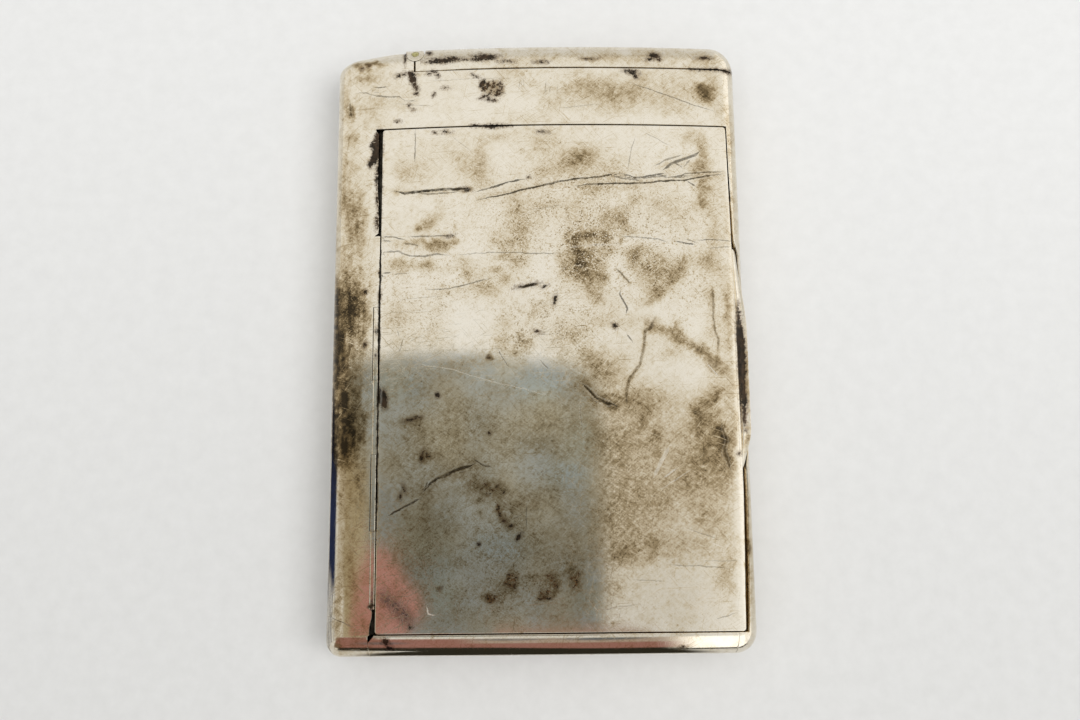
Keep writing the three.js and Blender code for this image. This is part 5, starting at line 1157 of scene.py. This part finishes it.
def plate_place(C, V, w):
    cb = np.where(np.abs(C) <= FIXED, C, np.sign(C) * (FIXED + (np.abs(C) - FIXED) * (XB0 - FIXED) / (XT0 - FIXED)))
    q = np.where(B[..., None], back(cb, V, w), front(C, V, w))
    # V ribs across the flat of the end
    on = (np.abs(q[..., 0]) < RIB_X[1]) & (q[..., 2] > RIB_Z[0]) & (q[..., 2] < RIB_Z[1]) & (np.abs(V) > 45) & (w < 0.4)
    saw = np.abs(((q[..., 0] - RIB_X[0]) / RIB_PITCH) % 1 - 0.5) * 2
    q[..., 1] += np.where(on, RIB_DEPTH * (1 - saw), 0)
    return q


d_end = np.minimum(C - plate_c0 - mitre * (1 - np.clip((C - plate_c0) / 6, 0, 1)), plate_c1 - C)
drop = np.maximum(round_over(d_end, 0.03), round_over(np.where(np.abs(V) <= 45, plate_v - V, 99), 0.09))
p = sheet(plate_place, C, V, np.ones((len(row_v) - 1, len(plate_cols) - 1), bool), WALL, drop)
build("bottom_end_plate_worn", p, "case", ["bottom_end_plate"], (silver, inside_mat))

# ---------------------------------------------------------------- thumb lift
LIFT_OUT = [lift_root, (28.46, z0 - 0.78), (28.7, z0 - 1.28), (28.96, z0 - 1.7), (29.32, z0 - 2.02), (29.75, z0 - 2.14), (30.16, z0 - 2.12)]
LIFT_IN = [(LID_X1 + 0.12, z0 - 0.95), (28.2, z0 - 1.34), (28.34, z0 - 1.74), (28.6, z0 - 2.14), (29.05, z0 - 2.5), (29.62, z0 - 2.68), (30.16, z0 - 2.66)]


def smooth_line(points, n):
    """n points along a smooth line through the given ones."""
    p = np.array(points, float)
    p = np.vstack([2 * p[0] - p[1], p, 2 * p[-1] - p[-2]])
    out = []
    for k in np.linspace(0, len(points) - 1, n):
        i = min(int(k), len(points) - 2)
        t = k - i
        a, b, c, d = p[i], p[i + 1], p[i + 2], p[i + 3]
        out.append(0.5 * (2 * b + (c - a) * t + (2 * a - 5 * b + 4 * c - d) * t * t + (3 * b - 3 * c + d - a) * t ** 3))
    return np.array(out)


lo_line, li_line = smooth_line(LIFT_OUT, 34), smooth_line(LIFT_IN, 24)
tip_mid, tip_half = (lo_line[-1] + li_line[-1]) / 2, (lo_line[-1] - li_line[-1]) / 2
tip = [tip_mid + tip_half * math.cos(a) + np.array([0.12, 0]) * math.sin(a) for a in np.linspace(0, PI, 9)[1:-1]]
ring2 = np.vstack([lo_line, tip, li_line[::-1]])
ring2[:, 0] = np.minimum(ring2[:, 0], 30.2)
rings = []
for y in np.concatenate([LIFT_END0 + np.array([0, 0.05, 0.12, 0.22]), lines(LIFT_END0 + 0.35, LIFT_END1 - 0.35, 0.4), LIFT_END1 - np.array([0.22, 0.12, 0.05, 0])]):
    end = np.clip(min(y - LIFT_END0, LIFT_END1 - y) / 0.9, 0, 1)
    s = float(lift_share(y)) * (0.35 + 0.65 * math.sqrt(1 - (1 - end) ** 2))
    q = np.array(lift_root) + s * (ring2 - np.array(lift_root))
    rings.append([(a, y, b) for a, b in q])
p = loop_skin(rings)
build("thumb_lift_worn", p, "front_lid", ["thumb_lift"], (silver,), sharp=50)

# ---------------------------------------------------------------- hinge barrel
def tube(x, z, ro, ri, y0, y1, square, n=48):
    """A knuckle: a tube whose upper half is filed square and flush with the front."""
    soft = 0.016
    outline = [(ri, y0 + 0.02), (ri + 0.03, y0), (ro - soft, y0), (ro - soft * 0.3, y0 + soft * 0.3), (ro, y0 + soft)]
    outline += [(ro, y) for y in np.linspace(y0 + soft, y1 - soft, max(3, int((y1 - y0) / 0.25)))[1:-1]]
    outline += [(ro, y1 - soft), (ro - soft * 0.3, y1 - soft * 0.3), (ro - soft, y1), (ri + 0.03, y1), (ri, y1 - 0.02)]
    m = len(outline)
    co, faces = [], []
    for r, y in outline:
        for k in range(n):
            a = 2 * PI * k / n
            ca, sa = math.cos(a), math.sin(a)
            power = square * (2.4 if ca < 0 and square > 4 else 1.0)
            worn = (abs(ca) ** power + abs(sa) ** power) ** (-1 / power) if sa > 0 and r > ri + 0.06 else 1.0
            px = x + r * worn * ca * (1.13 if ca < 0 and square > 4 and sa > -0.2 and r > ri + 0.06 else 1.0)
            co.append((px, y, min(z + r * worn * sa, THICK - CROWN * ((px - BODY_X) / CROWN_HALF) ** 2 - (0.06 if square > 4 and px < x - 0.2 else 0.012) - 0.035 * max(px - x + 0.3, 0))))
    for i in range(m):
        for k in range(n):
            faces.append((i * n + k, i * n + (k + 1) % n, (i + 1) % m * n + (k + 1) % n, (i + 1) % m * n + k))
    p = Piece()
    p.add(np.array(co), faces)
    return p


span = (BARREL_Y1 - BARREL_Y0) / KNUCKLES
for i, (node, body) in enumerate((("body_knuckle_bottom", "case"), ("lid_knuckle_lower", "front_lid"), ("body_knuckle_middle", "case"),
                                  ("lid_knuckle_upper", "front_lid"), ("body_knuckle_top", "case"))):
    p = tube(HINGE_X, HINGE_Z, BARREL_R, BARREL_BORE_R, BARREL_Y0 + i * span + KNUCKLE_GAP / 4, BARREL_Y0 + (i + 1) * span - KNUCKLE_GAP / 4, 5.0 if body == "case" else 2.8)
    build(node + "_tube", p, body, [node], (silver,), sharp=40)

# ---------------------------------------------------------------- end cap hinge: front eye and pin
def eye_front():
    """The fixed eye: a disc round the pin with a square root on its left, both following the front of the case."""
    z_low = 9.2
    disc, root, top = EYE_R + 0.10, EYE_ROOT - 0.04, 0.92
    corners = [(-root, EYE_STEP), (-root, top)]
    angles = sorted(set(np.linspace(0, 2 * PI, 72, endpoint=False).tolist() + [math.atan2(y, x) % (2 * PI) for x, y in corners]))
    reach = []
    for a in angles:
        x, y = math.cos(a), math.sin(a)
        r = disc
        if x < -0.05 and y > 0.05:
            r = max(r, root / -x)
        reach.append(min(r, top / y) if y > 0.05 else r)
    reach = np.array(reach)
    ca, sa = np.cos(angles), np.sin(angles)
    bore = 0.57
    profile = [(bore, 0, None), (bore, 0, 0.04), (bore + 0.05, 0, 0.0), (0.5, 1, 0.0), (0.2, 2, 0.0), (0.05, 2, 0.004), (0.02, 2, 0.015), (0.0, 2, 0.04), (0.0, 2, None)]
    co, faces, n = [], [], len(angles)
    for value, kind, fall in profile:
        r = np.full(n, value) if kind == 0 else (bore + 0.05 + (reach - bore - 0.05) * value if kind == 1 else reach - value)
        x, y = PIN_X + r * ca, PIN_Y + r * sa
        z = np.full(n, z_low) if fall is None else np.maximum(front(x - BODY_X, y, 0.03)[:, 2] - fall, z_low)
        co.append(np.stack([x, np.minimum(y, 44.96), z], 1))
    m = len(profile)
    for i in range(m):
        for k in range(n):
            faces.append((i * n + k, i * n + (k + 1) % n, (i + 1) % m * n + (k + 1) % n, (i + 1) % m * n + k))
    p = Piece()
    p.add(np.vstack(co), faces)
    return p


build("end_hinge_lug_front_worn", eye_front(), "case", ["end_hinge_lug_front"], (silver,), sharp=45)


def pin():
    n = 36
    co, faces = [], []
    profile = [(0.0, -0.03), (0.12, -0.03), (0.24, -0.02), (0.36, -0.01), (0.46, 0.0), (0.53, 0.02), (PIN_R, 0.2)]
    for r, d in profile:
        for k in range(n):
            a = 2 * PI * k / n
            x, y = PIN_X + r * math.cos(a), PIN_Y + r * math.sin(a)
            co.append((x, y, float(front(x - BODY_X, y, 0.05)[2]) - d))
    for r, d in reversed(profile):
        for k in range(n):
            a = 2 * PI * k / n
            x, y = PIN_X + r * math.cos(a), PIN_Y + r * math.sin(a)
            co.append((x, y, float(back(x - BODY_X, y, 0.05)[2]) + d))
    m = len(profile) * 2
    for i in range(m - 1):
        for k in range(n):
            f = [i * n + k, i * n + (k + 1) % n, (i + 1) * n + (k + 1) % n, (i + 1) * n + k]
            if i == 0:
                f = [0, f[2], f[3]]
            if i == m - 2:
                f = [f[0], f[1], (m - 1) * n]
            faces.append(tuple(f))
    p = Piece()
    p.add(np.array(co), faces)
    return p


build("end_hinge_pin_worn", pin(), "case", ["end_hinge_pin"], (brass,), sharp=50)

# ---------------------------------------------------------------- pieces kept from the part, with their edges eased
def eased(node, body, material, width=0.08, segments=2):
    src = frame["nodes"][node]
    mesh = src.data.copy()
    mesh.name = node + "_eased"
    bm = bmesh.new()
    bm.from_mesh(mesh)
    bmesh.ops.remove_doubles(bm, verts=bm.verts[:], dist=2e-6)
    bmesh.ops.dissolve_limit(bm, angle_limit=math.radians(0.6), verts=bm.verts[:], edges=bm.edges[:])
    bmesh.ops.recalc_face_normals(bm, faces=bm.faces[:])
    bm.to_mesh(mesh)
    bm.free()
    mesh.materials.clear()
    mesh.materials.append(material)
    mesh.polygons.foreach_set("use_smooth", np.ones(len(mesh.polygons), bool))
    ob = bpy.data.objects.new(node + "_eased", mesh)
    bpy.context.scene.collection.objects.link(ob)
    bev = ob.modifiers.new("eased", "BEVEL")
    bev.width, bev.segments, bev.limit_method, bev.angle_limit = width * MM, segments, "ANGLE", math.radians(35)
    bev.harden_normals = True
    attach(ob, body)
    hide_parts(node)
    return ob


for node, body, slot, material, width in (
        ("compartment_partition", "case", "gilt_inside", inside_mat, 0.06),
        ("lid_seat_rim", "case", "gilt_inside", inside_mat, 0.06),
        ("hinge_seat_strip", "case", "silver", groove, 0.05),
        ("lid_hinge_pin", "case", "steel", steel, 0.02),
        ("catch_spring", "case", "steel", steel, 0.04),
        ("match_collar", "case", "gilt_inside", inside_mat, 0.05),
        ("end_hinge_lug_back", "case", "silver", silver, 0.04),
        ("end_lid_spring", "case", "steel", steel, 0.04),
        ("lid_inner_frame", "front_lid", "gilt_inside", inside_mat, 0.06),
        ("lid_catch_tab", "front_lid", "gilt_inside", inside_mat, 0.06),
        ("end_lid_knuckle", "end_lid", "silver", silver, 0.04)):
    eased(node, body, material, width)

# ---------------------------------------------------------------- floor and light
floor_mesh = bpy.data.meshes.new("floor")
floor_mesh.from_pydata([(-3, -3, -0.00004), (3, -3, -0.00004), (3, 3, -0.00004), (-3, 3, -0.00004)], [], [(0, 1, 2, 3)])
floor = bpy.data.objects.new("floor", floor_mesh)
bpy.context.scene.collection.objects.link(floor)
floor_nodes = Nodes("floor_pale")
floor_tone = floor_nodes.span(floor_nodes.noise(420, 4, 0.6), 0.3, 0.7, 0.0, 1.0, "LINEAR")
# painted shade: the floor's colour darkens towards the near side and lightens towards the far side, standing in for the
# fall of light across it; the noise adds a little uneven tone
floor_far = floor_nodes.span(floor_nodes.split(floor_nodes.coord)[1], -0.075, 0.075)
floor_tone = floor_nodes.maths("ADD", floor_nodes.maths("MULTIPLY", floor_tone, 0.22), floor_nodes.maths("MULTIPLY", floor_far, 0.78))
floor_nodes.put(floor_nodes.bsdf.inputs["Base Color"], floor_nodes.mix(floor_tone, (0.600, 0.598, 0.590, 1), (0.748, 0.748, 0.744, 1)))
floor_nodes.bsdf.inputs["Roughness"].default_value = 0.8
floor_nodes.bsdf.inputs["Specular IOR Level"].default_value = 0.15
floor_mesh.materials.append(floor_nodes.mat)

world = bpy.data.worlds.new("studio")
bpy.context.scene.world = world
world.use_nodes = True
wt = world.node_tree
sky_at = wt.nodes.new("ShaderNodeTexCoord")
sky_split = wt.nodes.new("ShaderNodeSeparateXYZ")
wt.links.new(sky_at.outputs["Generated"], sky_split.inputs[0])
sky_ramp = wt.nodes.new("ShaderNodeValToRGB")
sky_span = wt.nodes.new("ShaderNodeMapRange")
wt.links.new(sky_split.outputs["Y"], sky_span.inputs[0])
for slot_index, value in enumerate((-1.0, 1.0, 0.0, 1.0), 1):
    sky_span.inputs[slot_index].default_value = value
sky = [(0.0, 0.78), (0.42, 0.74), (0.50, 0.74), (0.60, 0.94), (0.69, 1.0), (0.76, 0.94), (0.86, 0.80), (1.0, 0.78)]
while len(sky_ramp.color_ramp.elements) < len(sky):
    sky_ramp.color_ramp.elements.new(0.5)
for element, (at, value) in zip(sky_ramp.color_ramp.elements, sky):
    element.position, element.color = at, (value, value * 0.995, value * 0.975, 1)
wt.links.new(sky_span.outputs[0], sky_ramp.inputs[0])
# the right side is a little brighter
right_span, right_mix = wt.nodes.new("ShaderNodeMapRange"), wt.nodes.new("ShaderNodeMix")
right_span.interpolation_type, right_mix.data_type = "SMOOTHSTEP", "RGBA"
for slot_index, value in enumerate((0.24, 0.42, 0.0, 1.0), 1):
    right_span.inputs[slot_index].default_value = value
wt.links.new(sky_split.outputs["X"], right_span.inputs[0])
wt.links.new(right_span.outputs[0], right_mix.inputs[0])
wt.links.new(sky_ramp.outputs[0], right_mix.inputs[6])
right_mix.inputs[7].default_value = (1.02, 1.01, 0.985, 1)
far_right, far_mix = wt.nodes.new("ShaderNodeMapRange"), wt.nodes.new("ShaderNodeMix")
far_right.interpolation_type, far_mix.data_type = "SMOOTHSTEP", "RGBA"
for slot_index, value in enumerate((0.60, 0.90, 0.0, 1.0), 1):
    far_right.inputs[slot_index].default_value = value
wt.links.new(sky_split.outputs["X"], far_right.inputs[0])
wt.links.new(far_right.outputs[0], far_mix.inputs[0])
wt.links.new(right_mix.outputs[2], far_mix.inputs[6])
far_mix.inputs[7].default_value = (1.26, 1.25, 1.23, 1)
wt.links.new(far_mix.outputs[2], wt.nodes["Background"].inputs["Color"])
wt.nodes["Background"].inputs["Strength"].default_value = 1.0
# matt surfaces are lit mostly from overhead, which keeps the shadow short
overhead = wt.nodes.new("ShaderNodeMath")
overhead.operation = "POWER"
overhead.use_clamp = True
wt.links.new(sky_split.outputs["Z"], overhead.inputs[0])
overhead.inputs[1].default_value = 6.0
over_ramp = wt.nodes.new("ShaderNodeMapRange")
for slot_index, value in enumerate((0.0, 1.0, 0.27, 2.66), 1):
    over_ramp.inputs[slot_index].default_value = value
wt.links.new(overhead.outputs[0], over_ramp.inputs[0])
soft_sky = wt.nodes.new("ShaderNodeBackground")
soft_sky.inputs["Color"].default_value = (1.0, 1.0, 0.985, 1)
lean, leaned = wt.nodes.new("ShaderNodeMath"), wt.nodes.new("ShaderNodeMath")
lean.operation, leaned.operation = "MULTIPLY_ADD", "MULTIPLY"
wt.links.new(sky_split.outputs["Y"], lean.inputs[0])
lean.inputs[1].default_value, lean.inputs[2].default_value = -0.80, 1.0
wt.links.new(over_ramp.outputs[0], leaned.inputs[0])
wt.links.new(lean.outputs[0], leaned.inputs[1])
wt.links.new(leaned.outputs[0], soft_sky.inputs["Strength"])
ray_kind, both_skies = wt.nodes.new("ShaderNodeLightPath"), wt.nodes.new("ShaderNodeMixShader")
wt.links.new(ray_kind.outputs["Is Diffuse Ray"], both_skies.inputs[0])
wt.links.new(wt.nodes["Background"].outputs[0], both_skies.inputs[1])
wt.links.new(soft_sky.outputs[0], both_skies.inputs[2])
wt.links.new(both_skies.outputs[0], wt.nodes["World Output"].inputs["Surface"])

key = bpy.data.lights.new("key", "AREA")
key.shape, key.size, key.size_y, key.energy = "RECTANGLE", 0.4, 0.4, 2.8
key_ob = bpy.data.objects.new("key", key)
bpy.context.scene.collection.objects.link(key_ob)
key_ob.location = (0.42, -0.16, 0.80)
key_ob.rotation_euler = (Vector((0, 0, 0)) - key_ob.location).to_track_quat("-Z", "Y").to_euler()
key_ob.visible_glossy = False


def mirrored(u, v, height):
    """Where the front of the case, seen at pixels (u, v), mirrors a level card at a height in millimetres."""
    ray = np.stack([(u - 540) / LENS_PX, (360 - v) / LENS_PX, -np.ones_like(u)], -1) @ CAM_R.T
    z = np.full_like(u, THICK)
    for _ in range(5):
        hit = CAM_POS + ray * ((z - CAM_POS[2]) / ray[..., 2])[..., None]
        z = THICK - CROWN * ((hit[..., 0] - BODY_X) / CROWN_HALF) ** 2
    up = np.stack([2 * CROWN * (hit[..., 0] - BODY_X) / CROWN_HALF ** 2, np.zeros_like(u), np.ones_like(u)], -1)
    up /= np.linalg.norm(up, axis=-1, keepdims=True)
    away = ray - 2 * np.sum(ray * up, -1, keepdims=True) * up
    return hit + away * ((height - hit[..., 2]) / away[..., 2])[..., None]


def inside_by(u, v, outline):
    """Distance inside an outline, below 0 outside it."""
    ring = outline + outline[:1]
    d = to_line(u, v, ring)
    odd = np.zeros(u.shape, bool)
    for (x0, y0), (x1, y1) in zip(ring, ring[1:]):
        cross = (y0 > v) != (y1 > v)
        odd ^= cross & (u < (x1 - x0) * (v - y0) / (y1 - y0 if y1 != y0 else 1e-9) + x0)
    return np.where(odd, d, -d)


def card(name, co, shade, cover):
    """A reflector card: a grid of points with a shade and a cover at each. It shows only in reflections."""
    m, n = co.shape[:2]
    mesh = bpy.data.meshes.new(name)
    faces = [(i * n + j, i * n + j + 1, (i + 1) * n + j + 1, (i + 1) * n + j) for i in range(m - 1) for j in range(n - 1)]
    mesh.from_pydata((co.reshape(-1, 3) * MM).tolist(), [], faces)
    at = mesh.attributes.new("shade", "FLOAT_VECTOR", "POINT")
    at.data.foreach_set("vector", shade.reshape(-1, 3).astype(np.float32).ravel())
    at = mesh.attributes.new("cover", "FLOAT", "POINT")
    at.data.foreach_set("value", cover.ravel().astype(np.float32))
    w = Nodes(name)
    tree = w.tree
    glow, clear, both = tree.nodes.new("ShaderNodeEmission"), tree.nodes.new("ShaderNodeBsdfTransparent"), tree.nodes.new("ShaderNodeMixShader")
    w.put(glow.inputs["Color"], w.attribute("shade", "Color"))
    w.put(both.inputs[0], w.attribute("cover"))
    tree.links.new(clear.outputs[0], both.inputs[1])
    tree.links.new(glow.outputs[0], both.inputs[2])
    tree.links.new(both.outputs[0], tree.nodes["Material Output"].inputs["Surface"])
    mesh.materials.append(w.mat)
    ob = bpy.data.objects.new(name, mesh)
    bpy.context.scene.collection.objects.link(ob)
    ob.visible_camera = ob.visible_diffuse = ob.visible_shadow = ob.visible_transmission = False
    return ob


# a grey card close over the case, with a warm one beside it at the lower left
gu, gv = np.meshgrid(np.linspace(284, 690, 136), np.linspace(300, 690, 130))
grey = ease((gu - 286) / 34) * ease((inside_by(gu, gv, [(240, 372), (300, 366), (378, 357), (430, 352), (470, 353), (560, 362), (590, 372), (600, 392), (603, 430), (606, 520), (606, 585), (604, 700), (240, 700)]) + 7) / 15)
down, over = ease((gv - 380) / 200), ease((gu - 390) / 130)
level = 0.415 - 0.125 * down - (0.03 - 0.03 * over) * ease((gv - 400) / 130) * ease((gu - 366) / 14) + 0.065 * over * (1 - down) - 0.065 * (1 - over) * (1 - ease((gv - 380) / 60))
level = level * (0.80 + 0.40 * clouds(gu / 34, gv / 34, 77, 4))
hue = ease((clouds(gu / 30 + 5, gv / 30, 91, 3) - 0.34) / 0.32)[..., None]
shade = level[..., None] * (np.array([0.93, 1.02, 1.07]) * hue + np.array([1.02, 1.02, 0.91]) * (1 - hue))
cool = np.zeros_like(gu)
for cx, cy, rx, ry in ((540, 386, 22, 16), (584, 442, 20, 20), (395, 384, 24, 18), (566, 474, 24, 16), (588, 600, 14, 22), (505, 546, 38, 14), (440, 600, 22, 14)):
    cool = np.maximum(cool, ease(1.5 - np.hypot((gu - cx) / rx, (gv - cy) / ry)))
shade = shade * (1 + cool[..., None] * np.array([-0.09, 0.0, 0.10]))
slate = ease(1.5 - np.hypot((gu - 424) / 30, (gv - 560) / 52))
shade = shade * (1 - slate[..., None] * np.array([0.18, 0.135, 0.13]))
border = ease((371 - gu) / 7) * ease((gv - 440) / 40)
shade = shade + border[..., None] * (np.array([0.43, 0.37, 0.25]) - shade)
warm = ease((inside_by(gu, gv, [(346, 622), (352, 590), (368, 548), (386, 545), (406, 578), (421, 599), (424, 612), (420, 619), (402, 640), (346, 652)]) + 4) / 8)
shade = shade + warm[..., None] * (np.array([0.45, 0.232, 0.205]) - shade)
fold = ease((8.5 - to_line(gu, gv, [(384, 596), (396, 607), (409, 619)])) / 5)
shade = shade + fold[..., None] * (np.array([0.045, 0.040, 0.038]) - shade)
low = ease((inside_by(gu, gv, [(497, 629), (636, 628), (660, 636), (660, 660), (490, 660)]) + 3) / 6)
shade = shade + low[..., None] * (np.array([0.38, 0.25, 0.20]) - shade)
card("card_over", mirrored(gu, gv, 58.0), shade, np.maximum(grey, low))


def far_and_high(reach, el):
    """How far out and how high a curved card is at el degrees up from the level. Below the level it runs in along the floor."""
    e, on_floor = np.radians(el), el < -math.degrees(math.asin(9.6 / reach))
    return np.where(on_floor, 9.6 / np.tan(np.maximum(-e, 0.1)), reach * np.cos(e)), np.where(on_floor, 0.4, 10 + reach * np.sin(e))


def trough(x, y, along, across, reach, s, el):
    """Points of a curved card beside an edge of the case. s is along the edge for a card 90 mm away, and is drawn in for a nearer one."""
    far, high = far_and_high(90.0, el)
    away, eye = np.hypot(far, high - 10), CAM_POS[0] * along[0] + CAM_POS[1] * along[1]
    on_edge = (s + eye * away / 177) / (1 + away / 177)
    far, high = far_and_high(reach, el)
    s = on_edge + (on_edge - eye) * np.hypot(far, high - 10) / 177
    return np.stack([x + s * along[0] + far * across[0], y + s * along[1] + far * across[1], high], -1)


low_el = np.array([-66, -60, -55, -50, -45, -40, -36, -32, -28, -24, -21, -18, -16, -14, -12, -10.5, -9, -8, -7, -6.2])
# a curved card beyond the near end: dark at floor level, warm above it, bright at the right
ts, te = np.meshgrid(np.linspace(-78, 66, 145), np.concatenate([low_el, np.linspace(-5.5, 88, 96)]))


def over_shade(shade, share, colour):
    return shade + np.clip(share, 0, 1)[..., None] * (np.array(colour) - shade)


dark_top = 23 - 14 * ease((ts + 18) / 34)
shade = np.zeros(ts.shape + (3,)) + np.array([0.028, 0.026, 0.018])
shade = over_shade(shade, ease((te - dark_top + 5) / 10), (0.335, 0.168, 0.145))
shade = over_shade(shade, ease((te - 46) / 8) * ease((ts + 22) / 10), (0.44, 0.36, 0.31))
shade = over_shade(shade, ease(1.5 - np.hypot((ts - 13) / 9, (te - 73) / 10)), (0.14, 0.15, 0.17))
shade = over_shade(shade, 0.8 * ease(1.5 - np.hypot((ts + 8) / 8, (te - 72) / 7)), (0.19, 0.19, 0.20))
shade = over_shade(shade, 0.7 * ease(1.5 - np.hypot((ts + 38) / 6, (te - 52) / 9)), (0.15, 0.14, 0.15))
shade = over_shade(shade, ease((ts - 25) / 11) * ease((te + 4) / 6), (1.50, 1.48, 1.43))
shade = over_shade(shade, ease((-50 - ts) / 4) * ease((te - 14) / 6) * (1 - 0.75 * ease((te - 44) / 8)), (0.22, 0.15, 0.10))
cover = ease((ts + 76) / 6) * ease((64 - ts) / 5) * np.maximum(ease((79 - te) / 6), ease((-37 - ts) / 3))
cover = cover * ease((te + 62) / 10) * (1 - ease((-25 - ts - 16 * ease((te + 8) / 12)) / 5) * ease((6 - te) / 12))
cover = cover * (1 - ease((ts - 22) / 6) * ease((-9 - te) / 6)) * (1 - ease((-52 - ts) / 4) * ease((18 - te) / 8))
card("card_near_end", trough(0, -45, (1, 0), (0, -1), 16.0, ts, te), shade, cover)

# a curved card beyond the left side, darkest at its near end
ts, te = np.meshgrid(np.linspace(-50, 40, 91), np.concatenate([low_el, np.linspace(-5.5, 86, 93)]))
shade = np.zeros(ts.shape + (3,)) + np.array([0.020, 0.028, 0.075])
shade = over_shade(shade, ease((te - 22) / 5), (0.45, 0.395, 0.285))
stripes = 0.5 + 0.5 * np.sin(te * 0.42 + 0.6 * np.sin(ts / 3))
cover = ease((ts + 36) / 5) * ease((-1.5 - ts) / 6) * ease((22 - te) / 8) * ease((te + 56) / 14)
cover = np.maximum(cover, 0.8 * ease((-30 - ts) / 5) * ease((8 - te) / 5) * ease((stripes - 0.35) / 0.3))
cover = np.maximum(cover, 0.30 * ease((6 - ts) / 20) * ease((te - 12) / 8) * ease((60 - te) / 10))
cover = np.maximum(cover, 0.70 * ease((6 - ts) / 12) * ease((ts + 36) / 8) * ease((te - 30) / 8) * ease((85 - te) / 5))
card("card_left", trough(-30, 0, (0, 1), (-1, 0), 16.0, ts, te), shade, cover)

cam = bpy.data.cameras.new("camera")
cam.lens, cam.sensor_width, cam.sensor_fit = LENS_PX / 1080 * 36, 36, "HORIZONTAL"
cam.clip_start = 0.005
cam_ob = bpy.data.objects.new("camera", cam)
bpy.context.scene.collection.objects.link(cam_ob)
cam_ob.location = (CAM_POS * MM).tolist()
cam_ob.rotation_euler = CAM_TURN
bpy.context.scene.camera = cam_ob
bpy.context.scene.view_settings.view_transform = "Standard"
